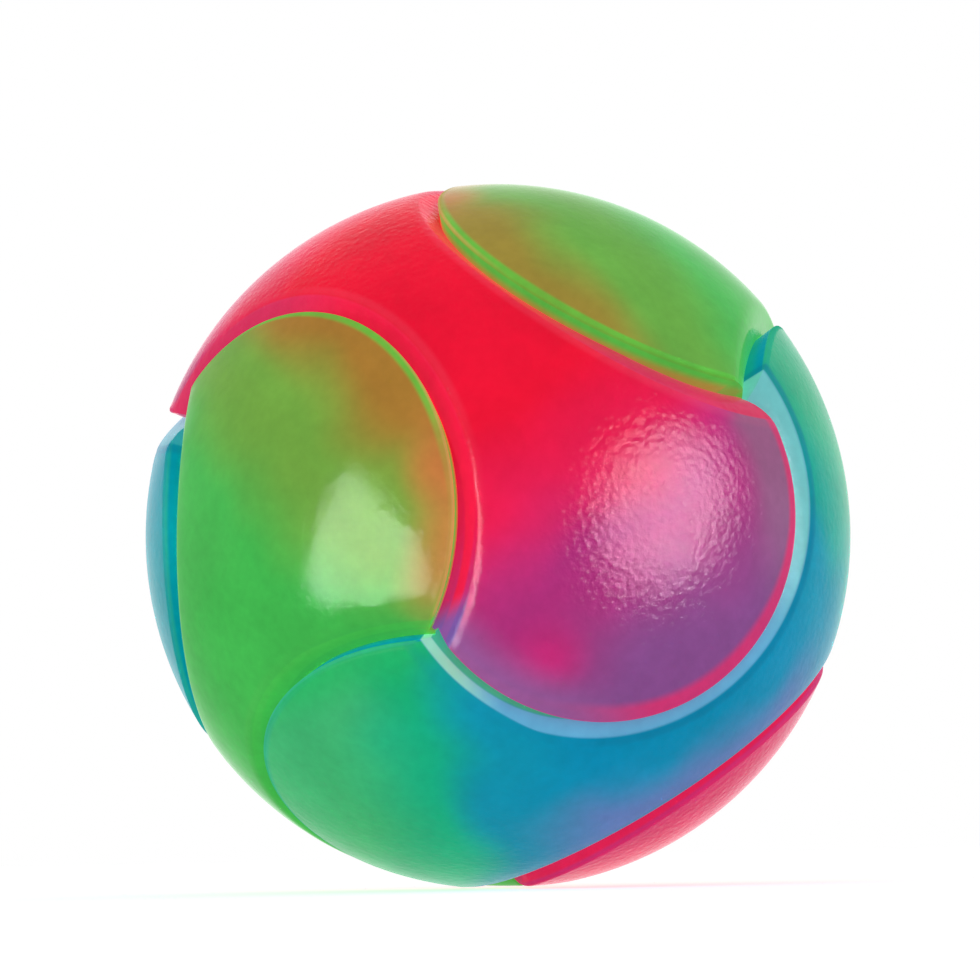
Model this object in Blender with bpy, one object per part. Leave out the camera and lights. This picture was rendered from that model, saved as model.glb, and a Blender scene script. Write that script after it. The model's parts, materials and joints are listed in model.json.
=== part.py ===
"""A light-up dog ball: six soft panels that lap over one another around a sealed flashing core."""

import math

import bmesh
import bpy
from mathutils import Matrix, Vector

# Ball and its soft panels, in metres
BALL_RADIUS = 0.0350
LOBE_THICKNESS = 0.0032
PLATE_THICKNESS = 0.0030
LAP_GAP = 0.0003
SEAM_GAP = 0.0004
VERTEX_MARGIN = 0.0006
POCKET_GAP = 0.0003
BEVEL_WIDTH = 0.0017
BEVEL_DEPTH = 0.0018
LOBE_EDGE = 0.0004
FRONT_TURN = math.radians(180.0)

# Sealed core
CORE_GAP = 0.0003
CORE_WALL = 0.0018
SPLIT_GAP = 0.0003
LIP_GAP = 0.0003
LIP_HEIGHT = 0.0040
LIP_WALL = 0.0008
RING_SECTION = 0.0010
RING_GAP = 0.00025

# Button cells and what holds them
CELL_RADIUS = 0.0058
CELL_HEIGHT = 0.0054
CELL_STEP = 0.0005
CELL_CAP_RADIUS = 0.0045
SEAT_GAP = 0.0003
WELL_GAP = 0.0003
WELL_WALL = 0.0013
WELL_DROP = 0.0008
FLOOR_RISE = 0.0026
STRAP_WIDTH = 0.0030
STRAP_THICKNESS = 0.0003
STRAP_GAP = 0.0003
STRAP_TURN = math.radians(60.0)
CELL_SPRING_HEIGHT = 0.0024
CELL_SPRING_WIRE = 0.0005
CELL_SPRING_FOOT = 0.0040
CELL_SPRING_TOP = 0.0022
CELL_SPRING_TURNS = 2.5
CONTACT_HEIGHT = 0.0014
CONTACT_WIDTH = 0.0030
CONTACT_THICKNESS = 0.0003
CONTACT_LENGTH = 0.0060

# Circuit board and what stands on it
BOARD_RADIUS = 0.0135
BOARD_THICKNESS = 0.0016
LAMP_INSET = 0.0040
LAMP_RADIUS = 0.0025
LAMP_HEIGHT = 0.0086
LAMP_FLANGE = 0.00045
LAMP_FLANGE_HEIGHT = 0.0010
LEAD_RADIUS = 0.0003
LEAD_PITCH = 0.00254
LEAD_TAIL = 0.0010
LEAD_GAP = 0.0003
SCREW_INSET = 0.0039
SCREW_RADIUS = 0.0010
SCREW_LENGTH = 0.0060
SCREW_HEAD_RADIUS = 0.0019
SCREW_HEAD_HEIGHT = 0.0012
SCREW_GAP = 0.0003
BOSS_WALL = 0.0011
CHIP_RADIUS = 0.0020
CHIP_HEIGHT = 0.0012
CHIP_GAP = 0.0003

# Shock switch: a coil that sways around a pin
COIL_RADIUS = 0.0016
COIL_WIRE = 0.0004
COIL_PITCH = 0.0010
COIL_TURNS = 8
PIN_RADIUS = 0.0004
PIN_HEIGHT = 0.0080
PIN_TAIL = 0.0004
PIN_GAP = 0.0003

# Facets
BALL_FACETS = 14
HOLLOW_FACETS = 8
LOBE_STEPS = 36
ARC_STEPS = 3
SHELL_STEPS = 26
SHELL_ARC = 6
SMALL_STEPS = 14
COIL_POINTS = 9
LEAST_COIL_GAP = 0.0004

# How far a cut reaches past the surface
CUT_RISE = 0.0010

# Radii of the layers, from the outside in
LOBE_INNER = BALL_RADIUS - LOBE_THICKNESS
PLATE_OUTER = LOBE_INNER - LAP_GAP
PLATE_INNER = PLATE_OUTER - PLATE_THICKNESS
CORE_OUTER = PLATE_INNER - CORE_GAP
CORE_INNER = CORE_OUTER - CORE_WALL

# Angles of the lobes, seen from the middle of the ball
VERTEX_ANGLE = math.acos(math.sqrt(2.0 / 3.0))
LOBE_ANGLE = VERTEX_ANGLE - VERTEX_MARGIN / BALL_RADIUS
POCKET_ANGLE = LOBE_ANGLE + POCKET_GAP / BALL_RADIUS
BEVEL_ANGLE = POCKET_ANGLE + BEVEL_WIDTH / BALL_RADIUS

# Heights inside the core, from the floor of the cell well up
FLOOR_Z = FLOOR_RISE - CORE_INNER
STRAP_Z = FLOOR_Z + SEAT_GAP
CELL_SPRING_Z = STRAP_Z + STRAP_THICKNESS + SEAT_GAP
CELL_Z = CELL_SPRING_Z + CELL_SPRING_HEIGHT + SEAT_GAP
CELL_RISE = CELL_HEIGHT + SEAT_GAP
CONTACT_Z = CELL_Z + 3.0 * CELL_RISE
BOARD_Z = CONTACT_Z + CONTACT_HEIGHT + SEAT_GAP
BOARD_TOP = BOARD_Z + BOARD_THICKNESS
FITTED_Z = BOARD_TOP + SEAT_GAP
BOSS_TOP = BOARD_Z - SEAT_GAP
WELL_TOP = CONTACT_Z - SEAT_GAP - WELL_DROP

# Radii inside the core
WELL_BORE = CELL_RADIUS + WELL_GAP
WELL_OUTER = WELL_BORE + WELL_WALL
LIP_OUTER = CORE_INNER - LIP_GAP
GROOVE_FLOOR = CORE_INNER - RING_SECTION - 2.0 * RING_GAP
LIP_INNER = GROOVE_FLOOR - LIP_WALL
GROOVE_WIDTH = RING_SECTION + 2.0 * RING_GAP
SCREW_BORE = SCREW_RADIUS + SCREW_GAP
LEAD_BORE = LEAD_RADIUS + LEAD_GAP
PIN_BORE = PIN_RADIUS + PIN_GAP
BOSS_RADIUS = SCREW_BORE + BOSS_WALL

# Circles on the board that its lamps, screws and driver stand on
LAMP_CIRCLE = BOARD_RADIUS - LAMP_INSET
SCREW_CIRCLE = BOARD_RADIUS - SCREW_INSET
CHIP_CIRCLE = SCREW_CIRCLE - SCREW_HEAD_RADIUS - CHIP_GAP - CHIP_RADIUS

LAMP_TURNS = [math.radians(angle) for angle in (90.0, 210.0, 330.0)]
SCREW_TURNS = [math.radians(angle) for angle in (30.0, 150.0, 270.0)]


def clear_scene():
    """Remove whatever the scene holds."""
    for item in list(bpy.data.objects):
        bpy.data.objects.remove(item, do_unlink=True)


def finish(name, color, roughness, metallic=0.0, alpha=1.0):
    """A plain Principled material."""
    material = bpy.data.materials.new(name)
    material.use_nodes = True
    shader = material.node_tree.nodes["Principled BSDF"]
    shader.inputs["Base Color"].default_value = (*color, 1.0)
    shader.inputs["Roughness"].default_value = roughness
    shader.inputs["Metallic"].default_value = metallic
    shader.inputs["Alpha"].default_value = alpha
    return material


def placed(name, mesh, material=None):
    """An object that carries the mesh and, on itself, the material."""
    item = bpy.data.objects.new(name, mesh)
    bpy.context.scene.collection.objects.link(item)
    if material:
        if not mesh.materials:
            mesh.materials.append(None)
        item.material_slots[0].link = "OBJECT"
        item.material_slots[0].material = material
    return item


def mesh_from(bm, name):
    """Close a bmesh into a mesh with its faces pointing out."""
    bmesh.ops.remove_doubles(bm, verts=bm.verts, dist=1e-7)
    bmesh.ops.recalc_face_normals(bm, faces=bm.faces)
    mesh = bpy.data.meshes.new(name)
    bm.to_mesh(mesh)
    bm.free()
    return mesh


def smooth(mesh, angle=math.radians(32.0)):
    """Smooth shading that keeps the real edges."""
    mesh.shade_smooth()
    mesh.set_sharp_from_angle(angle=angle)
    return mesh


def turned(name, profile, steps, closed=False):
    """A profile of (radius, height) points turned around Z."""
    bm = bmesh.new()
    points = [bm.verts.new((radius, 0.0, height)) for radius, height in profile]
    edges = [bm.edges.new(pair) for pair in zip(points, points[1:])]
    if closed:
        edges.append(bm.edges.new((points[-1], points[0])))
    bmesh.ops.spin(
        bm,
        geom=points + edges,
        cent=(0.0, 0.0, 0.0),
        axis=(0.0, 0.0, 1.0),
        angle=math.tau,
        steps=steps,
        use_merge=True,
    )
    return mesh_from(bm, name)


def rod(name, radius, low, high, steps=SMALL_STEPS, at=(0.0, 0.0)):
    """A straight upright cylinder."""
    mesh = turned(name, [(0.0, low), (radius, low), (radius, high), (0.0, high)], steps)
    mesh.transform(Matrix.Translation((at[0], at[1], 0.0)))
    return mesh


def box(name, low, high):
    """A block between two corners."""
    bm = bmesh.new()
    bmesh.ops.create_cube(bm, size=1.0)
    for vert in bm.verts:
        for axis in range(3):
            vert.co[axis] = high[axis] if vert.co[axis] > 0.0 else low[axis]
    return mesh_from(bm, name)


def strip(name, outline, width):
    """A flat outline in X and Z, drawn out along Y to the given width."""
    bm = bmesh.new()
    face = bm.faces.new([bm.verts.new((x, -width / 2.0, z)) for x, z in outline])
    drawn = bmesh.ops.extrude_face_region(bm, geom=[face])["geom"]
    moved = [part for part in drawn if isinstance(part, bmesh.types.BMVert)]
    bmesh.ops.translate(bm, verts=moved, vec=(0.0, width, 0.0))
    return mesh_from(bm, name)


def arc(radius, start, end, count):
    """Points (distance from the axis, height) on a circle around the middle of the ball."""
    angles = [start + (end - start) * step / count for step in range(count + 1)]
    return [polar(radius, angle) for angle in angles]


def polar(radius, angle):
    """One such point, its angle measured from the axis."""
    return (radius * math.sin(angle), radius * math.cos(angle))


def around(radius, turn):
    """A point on a circle around Z."""
    return (radius * math.cos(turn), radius * math.sin(turn))


def combined(name, mesh, steps):
    """The mesh after a row of (operation, other mesh) cuts and joins."""
    base = placed(name, mesh)
    tools = []
    for operation, other in steps:
        tool = placed(name + "_tool", other)
        tool.hide_render = True
        tool.display_type = "WIRE"
        modifier = base.modifiers.new(operation.title(), "BOOLEAN")
        modifier.operation = operation
        modifier.solver = "EXACT"
        modifier.object = tool
        tools.append(tool)
    graph = bpy.context.evaluated_depsgraph_get()
    result = bpy.data.meshes.new_from_object(base.evaluated_get(graph), depsgraph=graph)
    result.name = name
    for item in tools + [base]:
        bpy.data.objects.remove(item, do_unlink=True)
    return result


def ball(name, radius, count):
    """A sphere of even facets: a cube with count squares along each edge, blown round."""
    bm = bmesh.new()
    bmesh.ops.create_cube(bm, size=2.0)
    bmesh.ops.subdivide_edges(bm, edges=bm.edges, cuts=count - 1, use_grid_fill=True)
    for vert in bm.verts:
        even = Vector([math.tan(part * math.pi / 4.0) for part in vert.co])
        vert.co = even.normalized() * radius
    mesh = mesh_from(bm, name)
    mesh.transform(Matrix.Rotation(math.pi / 4.0, 4, "Z"))
    return mesh


def face_wedge():
    """The share of one panel: a square pyramid from the middle of the ball, cut off below."""
    low = PLATE_INNER * 0.4
    high = BALL_RADIUS * 1.2
    inset = SEAM_GAP / math.sqrt(2.0)
    bm = bmesh.new()
    bmesh.ops.create_cube(bm, size=2.0)
    for vert in bm.verts:
        height = high if vert.co.z > 0.0 else low
        vert.co = Vector((vert.co.x * (height - inset), vert.co.y * (height - inset), height))
    return mesh_from(bm, "face_wedge")


def lobe(side):
    """A round lobe with a broken rim, over the edge to the neighbour at this end."""
    above = BALL_RADIUS + CUT_RISE
    shoulder = polar(BALL_RADIUS - LOBE_EDGE, LOBE_ANGLE)
    brow = LOBE_ANGLE - (LOBE_EDGE + CUT_RISE) / BALL_RADIUS
    profile = arc(LOBE_INNER, 0.0, LOBE_ANGLE, ARC_STEPS) + [shoulder]
    profile += arc(above, brow, 0.0, ARC_STEPS)
    mesh = turned("lobe", profile, LOBE_STEPS)
    mesh.transform(Matrix.Rotation(side * math.pi / 4.0, 4, "Y"))
    return mesh


def pocket(side):
    """The seat that a neighbour's lobe lies in, with the wide bevel around it."""
    above = BALL_RADIUS + CUT_RISE
    ledge = polar(BALL_RADIUS - BEVEL_DEPTH, POCKET_ANGLE)
    brow = BEVEL_ANGLE + CUT_RISE * BEVEL_WIDTH / BEVEL_DEPTH / BALL_RADIUS
    profile = arc(PLATE_OUTER, 0.0, POCKET_ANGLE, ARC_STEPS) + [ledge]
    profile += arc(above, brow, 0.0, ARC_STEPS)
    mesh = turned("pocket", profile, LOBE_STEPS)
    mesh.transform(Matrix.Rotation(-side * math.pi / 4.0, 4, "X"))
    return mesh


def panel_mesh():
    """One panel, facing +Z, with its lobes along X and its pockets along Y."""
    reach = combined("reach", face_wedge(), [("UNION", lobe(1.0)), ("UNION", lobe(-1.0))])
    shell = ball("shell", BALL_RADIUS, BALL_FACETS)
    flat = math.cos(math.pi / 4.0 / HOLLOW_FACETS) ** 2
    hollow = ball("hollow", PLATE_INNER / flat, HOLLOW_FACETS)
    cuts = [
        ("DIFFERENCE", hollow),
        ("INTERSECT", reach),
        ("DIFFERENCE", pocket(1.0)),
        ("DIFFERENCE", pocket(-1.0)),
    ]
    return smooth(combined("panel", shell, cuts))


def panel_axes():
    """The three crossed axes of the panels, with a corner of their cube on top."""
    corner = Vector((1.0, -1.0, -1.0)).normalized()
    stand = corner.rotation_difference(Vector((0.0, 0.0, 1.0))).to_matrix()
    turn = Matrix.Rotation(FRONT_TURN, 3, "Z") @ stand
    return [turn @ Vector(unit) for unit in ((1.0, 0.0, 0.0), (0.0, 1.0, 0.0), (0.0, 0.0, 1.0))]


def build_panels():
    """Three pairs of panels; each colour's lobes lap over the next colour's panels."""
    red_axis, green_axis, blue_axis = panel_axes()
    red = finish("red_rubber", (0.84, 0.012, 0.032), 0.32)
    green = finish("green_rubber", (0.045, 0.485, 0.061), 0.32)
    blue = finish("blue_rubber", (0.008, 0.305, 0.515), 0.32)
    mesh = panel_mesh()
    layout = [
        ("red_upper_panel", red_axis, blue_axis, red),
        ("red_lower_panel", -red_axis, blue_axis, red),
        ("green_upper_panel", -green_axis, red_axis, green),
        ("green_lower_panel", green_axis, red_axis, green),
        ("blue_upper_panel", -blue_axis, green_axis, blue),
        ("blue_lower_panel", blue_axis, green_axis, blue),
    ]
    for name, outward, along, material in layout:
        axes = Matrix((along, outward.cross(along), outward)).transposed()
        placed(name, mesh, material).matrix_world = axes.to_4x4()


def core_top():
    """The upper half of the core, with a socket for the lower half's lip."""
    edge = SPLIT_GAP / 2.0
    socket = LIP_HEIGHT + LIP_GAP
    outer_end = math.acos(edge / CORE_OUTER)
    inner_end = math.acos(socket / CORE_INNER)
    profile = arc(CORE_OUTER, 0.0, outer_end, SHELL_ARC)
    profile += [(CORE_INNER, edge), (CORE_INNER, socket)]
    profile += arc(CORE_INNER, inner_end, 0.0, SHELL_ARC)
    return turned("core_upper_shell", profile, SHELL_STEPS)


def core_bottom():
    """The lower half of the core: lip and ring groove, cell well and three board bosses."""
    edge = -SPLIT_GAP / 2.0
    groove_low = LIP_HEIGHT / 2.0 - GROOVE_WIDTH / 2.0
    groove_high = LIP_HEIGHT / 2.0 + GROOVE_WIDTH / 2.0
    outer_end = math.acos(edge / CORE_OUTER)
    inner_end = math.pi - math.asin(LIP_INNER / CORE_INNER)
    profile = arc(CORE_OUTER, math.pi, outer_end, SHELL_ARC)
    profile += [(LIP_OUTER, edge), (LIP_OUTER, groove_low), (GROOVE_FLOOR, groove_low)]
    profile += [(GROOVE_FLOOR, groove_high), (LIP_OUTER, groove_high)]
    profile += [(LIP_OUTER, LIP_HEIGHT), (LIP_INNER, LIP_HEIGHT)]
    profile += arc(CORE_INNER, inner_end, math.pi, SHELL_ARC)
    shell = turned("core_lower_shell", profile, SHELL_STEPS)

    spots = [around(SCREW_CIRCLE, turn) for turn in SCREW_TURNS]
    well = rod("well", WELL_OUTER, -CORE_OUTER, WELL_TOP, SHELL_STEPS)
    bosses = [rod("boss", BOSS_RADIUS, -CORE_OUTER, BOSS_TOP, at=spot) for spot in spots]
    within = ball("within", CORE_OUTER - CORE_WALL / 2.0, HOLLOW_FACETS)
    pillar_steps = [("UNION", boss) for boss in bosses] + [("INTERSECT", within)]
    pillars = combined("pillars", well, pillar_steps)

    slot_low = (0.0, -STRAP_WIDTH / 2.0 - STRAP_GAP, FLOOR_Z)
    slot_reach = WELL_OUTER + STRAP_GAP
    slot_high = (slot_reach, STRAP_WIDTH / 2.0 + STRAP_GAP, CELL_SPRING_Z + SEAT_GAP)
    slot = box("slot", slot_low, slot_high)
    slot.transform(Matrix.Rotation(STRAP_TURN, 4, "Z"))
    bore = rod("bore", WELL_BORE, FLOOR_Z, WELL_TOP + WELL_WALL, SHELL_STEPS)
    pilot_low = FITTED_Z - SCREW_LENGTH - SCREW_GAP
    pilots = [rod("pilot", SCREW_BORE, pilot_low, BOARD_TOP, at=spot) for spot in spots]
    well_cut = combined("well_cut", bore, [("UNION", slot)])
    steps = [("UNION", pillars), ("DIFFERENCE", well_cut)]
    steps += [("DIFFERENCE", pilot) for pilot in pilots]
    return combined("core_lower_shell", shell, steps)


def build_core():
    """Both halves of the core and the ring that seals them."""
    milky = finish("milky_plastic", (0.86, 0.87, 0.88), 0.28, alpha=0.6)
    rubber = finish("ring_rubber", (0.03, 0.03, 0.032), 0.6)
    placed("core_upper_shell", smooth(core_top()), milky)
    placed("core_lower_shell", smooth(core_bottom()), milky)
    middle = (GROOVE_FLOOR + CORE_INNER) / 2.0
    section = [math.tau * step / 8 for step in range(8)]
    half = RING_SECTION / 2.0
    profile = [(middle + half * math.cos(a), LIP_HEIGHT / 2.0 + half * math.sin(a)) for a in section]
    ring = turned("core_seal_ring", profile, SHELL_STEPS, closed=True)
    placed("core_seal_ring", smooth(ring, math.radians(60.0)), rubber)


def cell_mesh():
    """A button cell: a can with a smaller raised cap."""
    edge = CELL_STEP / 2.0
    waist = CELL_HEIGHT - CELL_STEP
    profile = [(0.0, 0.0), (CELL_CAP_RADIUS, 0.0), (CELL_CAP_RADIUS, CELL_STEP)]
    profile += [(CELL_RADIUS - edge, CELL_STEP), (CELL_RADIUS, CELL_STEP + edge)]
    profile += [(CELL_RADIUS, waist + edge), (CELL_RADIUS - edge, CELL_HEIGHT), (0.0, CELL_HEIGHT)]
    return smooth(turned("cell", profile, SHELL_STEPS))


def wound(name, path, wire):
    """One round wire along the points of a path, its ends closed."""
    curve = bpy.data.curves.new(name, "CURVE")
    curve.dimensions = "3D"
    curve.bevel_depth = wire / 2.0
    curve.bevel_resolution = 1
    curve.use_fill_caps = True
    line = curve.splines.new("POLY")
    line.points.add(len(path) - 1)
    for point, place in zip(line.points, path):
        point.co = (*place, 1.0)
    guide = bpy.data.objects.new(name + "_guide", curve)
    bpy.context.scene.collection.objects.link(guide)
    graph = bpy.context.evaluated_depsgraph_get()
    drawn = bpy.data.meshes.new_from_object(guide.evaluated_get(graph), depsgraph=graph)
    bpy.data.objects.remove(guide, do_unlink=True)
    bm = bmesh.new()
    bm.from_mesh(drawn)
    bpy.data.meshes.remove(drawn)
    return smooth(mesh_from(bm, name), math.radians(70.0))


def self_gap(path, wire):
    """The least clear distance between two turns of a wound wire."""
    apart = COIL_POINTS // 2
    pairs = [(a, b) for i, a in enumerate(path) for b in path[i + apart :]]
    return min((a - b).length for a, b in pairs) - wire


def coil_path(turns, low, high, start_radius, end_radius):
    """Points of a coil that rises and narrows evenly."""
    count = round(turns * COIL_POINTS)
    path = []
    for step in range(count + 1):
        share = step / count
        angle = math.tau * turns * share
        radius = start_radius + (end_radius - start_radius) * share
        x, y = around(radius, angle)
        path.append(Vector((x, y, low + (high - low) * share)))
    return path


def build_cells():
    """Three cells in a stack, the spring and strap below them and the contact above."""
    steel = finish("cell_steel", (0.62, 0.62, 0.60), 0.28, 1.0)
    spring_steel = finish("spring_steel", (0.55, 0.55, 0.54), 0.3, 1.0)
    brass = finish("contact_brass", (0.72, 0.55, 0.25), 0.3, 1.0)
    mesh = cell_mesh()
    for index, name in enumerate(("bottom_cell", "middle_cell", "top_cell")):
        cell = placed(name, mesh, steel)
        cell.location = (0.0, 0.0, CELL_Z + index * CELL_RISE)

    half = CELL_SPRING_WIRE / 2.0
    low = CELL_SPRING_Z + half
    high = CELL_SPRING_Z + CELL_SPRING_HEIGHT - half
    path = coil_path(CELL_SPRING_TURNS, low, high, CELL_SPRING_FOOT, CELL_SPRING_TOP)
    report_gap("cell_spring", path, CELL_SPRING_WIRE)
    placed("cell_spring", wound("cell_spring", path, CELL_SPRING_WIRE), spring_steel)

    inner = WELL_OUTER + STRAP_GAP
    outer = inner + STRAP_THICKNESS
    foot = STRAP_Z + STRAP_THICKNESS
    outline = [(-CELL_SPRING_FOOT, STRAP_Z), (outer, STRAP_Z), (outer, BOSS_TOP)]
    outline += [(inner, BOSS_TOP), (inner, foot), (-CELL_SPRING_FOOT, foot)]
    strap = placed("negative_strap", strip("negative_strap", outline, STRAP_WIDTH), brass)
    strap.rotation_euler = (0.0, 0.0, STRAP_TURN)

    high = BOARD_Z - SEAT_GAP
    thick = CONTACT_THICKNESS
    bend = -CONTACT_LENGTH / 2.0
    outline = [(-CONTACT_LENGTH, high - thick), (bend, high - thick), (-thick, CONTACT_Z)]
    outline += [(thick, CONTACT_Z), (-bend / 2.0, CONTACT_Z + thick)]
    outline += [(-bend / 2.0, CONTACT_Z + 2.0 * thick), (thick, CONTACT_Z + thick)]
    outline += [(-thick, CONTACT_Z + thick), (bend, high), (-CONTACT_LENGTH, high)]
    placed("positive_contact", strip("positive_contact", outline, CONTACT_WIDTH), brass)


def lead_spots(turn):
    """Where the two leads of the lamp at this turn go through the board."""
    middle = Vector(around(LAMP_CIRCLE, turn))
    aside = Vector(around(LEAD_PITCH / 2.0, turn + math.pi / 2.0))
    return [middle + aside, middle - aside]


def build_board():
    """The board with its holes, held by three screws."""
    laminate = finish("board_laminate", (0.03, 0.16, 0.06), 0.45)
    steel = finish("screw_steel", (0.5, 0.5, 0.5), 0.32, 1.0)
    spots = [around(SCREW_CIRCLE, turn) for turn in SCREW_TURNS]
    low = BOARD_Z - BOARD_THICKNESS
    high = BOARD_TOP + BOARD_THICKNESS
    holes = [rod("hole", SCREW_BORE, low, high, 12, spot) for spot in spots]
    for turn in LAMP_TURNS:
        holes += [rod("hole", LEAD_BORE, low, high, 8, spot) for spot in lead_spots(turn)]
    holes.append(rod("hole", PIN_BORE, low, high, 8))
    disc = rod("disc", BOARD_RADIUS, BOARD_Z, BOARD_TOP, SHELL_STEPS + 6)
    board = combined("circuit_board", disc, [("DIFFERENCE", hole) for hole in holes])
    placed("circuit_board", smooth(board), laminate)

    tip = SCREW_RADIUS / 2.0
    crown = SCREW_HEAD_HEIGHT / 3.0
    profile = [(0.0, -SCREW_LENGTH), (tip, -SCREW_LENGTH), (SCREW_RADIUS, -SCREW_LENGTH + tip)]
    profile += [(SCREW_RADIUS, 0.0), (SCREW_HEAD_RADIUS, 0.0), (SCREW_HEAD_RADIUS, crown)]
    profile += [(SCREW_HEAD_RADIUS - crown, SCREW_HEAD_HEIGHT), (0.0, SCREW_HEAD_HEIGHT)]
    mesh = smooth(turned("screw", profile, SMALL_STEPS))
    for index, spot in enumerate(spots):
        placed(f"board_screw_{index + 1}", mesh, steel).location = (*spot, FITTED_Z)


def build_lamps():
    """Three lamps in a ring, each with two leads through the board."""
    colors = {
        "red_lamp": (0.8, 0.05, 0.04),
        "green_lamp": (0.06, 0.6, 0.1),
        "blue_lamp": (0.05, 0.15, 0.8),
    }
    flange = LAMP_RADIUS + LAMP_FLANGE
    crown = LAMP_HEIGHT - LAMP_RADIUS
    profile = [(0.0, 0.0), (flange, 0.0), (flange, LAMP_FLANGE_HEIGHT)]
    profile += [(LAMP_RADIUS, LAMP_FLANGE_HEIGHT)]
    dome = arc(LAMP_RADIUS, math.pi / 2.0, 0.0, 4)
    profile += [(radius, crown + height) for radius, height in dome]
    for (name, color), turn in zip(colors.items(), LAMP_TURNS):
        middle = around(LAMP_CIRCLE, turn)
        body = turned(name, profile, SMALL_STEPS)
        body.transform(Matrix.Translation((*middle, FITTED_Z)))
        low = BOARD_Z - LEAD_TAIL
        high = FITTED_Z + LAMP_FLANGE_HEIGHT
        leads = [rod("lead", LEAD_RADIUS, low, high, 8, spot) for spot in lead_spots(turn)]
        mesh = combined(name, body, [("UNION", lead) for lead in leads])
        placed(name, smooth(mesh), finish(name + "_resin", color, 0.15, alpha=0.75))


def build_switch():
    """The driver blob and the shock switch at the middle of the board."""
    resin = finish("chip_resin", (0.015, 0.015, 0.016), 0.35)
    steel = finish("coil_steel", (0.55, 0.55, 0.54), 0.3, 1.0)
    brass = finish("pin_brass", (0.72, 0.55, 0.25), 0.28, 1.0)
    bend = [math.pi / 2.0 * (1.0 - step / 4) for step in range(5)]
    dome = [(CHIP_RADIUS * math.sin(a), CHIP_HEIGHT * math.cos(a)) for a in bend]
    chip = turned("flasher_chip", [(0.0, 0.0)] + dome, SMALL_STEPS)
    x, y = around(CHIP_CIRCLE, SCREW_TURNS[2])
    placed("flasher_chip", smooth(chip), resin).location = (x, y, FITTED_Z)

    pin = rod("shock_pin", PIN_RADIUS, BOARD_Z - PIN_TAIL, FITTED_Z + PIN_HEIGHT, 12)
    placed("shock_pin", smooth(pin), brass)

    foot = COIL_WIRE
    rise = COIL_TURNS * COIL_PITCH
    path = [Vector((COIL_RADIUS, 0.0, 0.0))]
    path += coil_path(COIL_TURNS, foot, foot + rise, COIL_RADIUS, COIL_RADIUS)
    report_gap("shock_spring", path, COIL_WIRE)
    spring = placed("shock_spring", wound("shock_spring", path, COIL_WIRE), steel)
    spring.location = (0.0, 0.0, FITTED_Z)


def report_gap(name, path, wire):
    """Print the least gap of a wound wire to itself, and stop if it is too small."""
    gap = self_gap(path, wire)
    print(f"{name}: least gap to itself {gap * 1000.0:.2f} mm")
    if gap < LEAST_COIL_GAP:
        raise ValueError(f"{name} winds too close to itself")


def main():
    """Build every piece in the ball's own frame."""
    clear_scene()
    build_panels()
    build_core()
    build_cells()
    build_board()
    build_lamps()
    build_switch()


main()
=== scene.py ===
"""Looks of the light-up dog ball: its soft lapped panels, their finishes and a plain studio."""

import json
import logging
import math
from collections.abc import Iterable, Sequence
from dataclasses import dataclass, field
from enum import Enum

import bmesh
import bpy
from mathutils import Matrix, Vector
from mathutils.geometry import delaunay_2d_cdt

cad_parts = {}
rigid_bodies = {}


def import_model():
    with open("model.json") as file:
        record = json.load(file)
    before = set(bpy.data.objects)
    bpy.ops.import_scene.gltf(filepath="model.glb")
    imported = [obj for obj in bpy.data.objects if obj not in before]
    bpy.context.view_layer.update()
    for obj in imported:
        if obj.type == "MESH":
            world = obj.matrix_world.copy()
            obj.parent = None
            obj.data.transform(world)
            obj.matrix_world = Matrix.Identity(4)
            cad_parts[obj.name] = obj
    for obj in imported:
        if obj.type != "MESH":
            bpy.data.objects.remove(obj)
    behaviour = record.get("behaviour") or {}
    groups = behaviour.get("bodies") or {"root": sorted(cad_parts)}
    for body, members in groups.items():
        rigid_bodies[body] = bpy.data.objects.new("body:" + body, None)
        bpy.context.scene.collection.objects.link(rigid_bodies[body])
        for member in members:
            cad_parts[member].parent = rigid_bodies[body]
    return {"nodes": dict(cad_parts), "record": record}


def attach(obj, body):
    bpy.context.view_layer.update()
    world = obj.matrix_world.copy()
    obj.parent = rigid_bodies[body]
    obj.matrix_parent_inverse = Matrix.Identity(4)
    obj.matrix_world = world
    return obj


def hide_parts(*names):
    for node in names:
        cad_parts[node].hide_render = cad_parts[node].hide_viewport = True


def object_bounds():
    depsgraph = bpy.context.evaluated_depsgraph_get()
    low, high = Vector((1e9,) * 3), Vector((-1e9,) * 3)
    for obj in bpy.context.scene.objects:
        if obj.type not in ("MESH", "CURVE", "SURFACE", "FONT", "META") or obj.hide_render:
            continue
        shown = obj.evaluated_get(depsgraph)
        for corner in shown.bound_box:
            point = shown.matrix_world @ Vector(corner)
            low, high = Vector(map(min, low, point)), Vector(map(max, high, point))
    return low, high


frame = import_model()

CAD_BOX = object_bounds()
PLACE = "panel_place"
LAP_DEPTH = "lap_depth"
LIT_BAND_DEPTH = "lit_band_depth"
SHEET_GLOW = "sheet_glow"
SHEET_AIM = "sheet_aim"
LOG = logging.getLogger("dog_ball")

Color = tuple[float, float, float]
Socket = bpy.types.NodeSocket
Input = Socket | float | Sequence[float]


def tone(red: int, green: int, blue: int) -> Color:
    """Turn a colour as a screen shows it into the linear values of a shader.

    Args:
        red, green, blue: The colour's parts, from 0 to 255.

    Returns:
        The linear red, green and blue values.
    """

    def linear(part: int) -> float:
        """One part of the colour, from 0 to 1."""
        share = part / 255.0
        return share / 12.92 if share <= 0.04045 else ((share + 0.055) / 1.055) ** 2.4

    return linear(red), linear(green), linear(blue)


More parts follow.
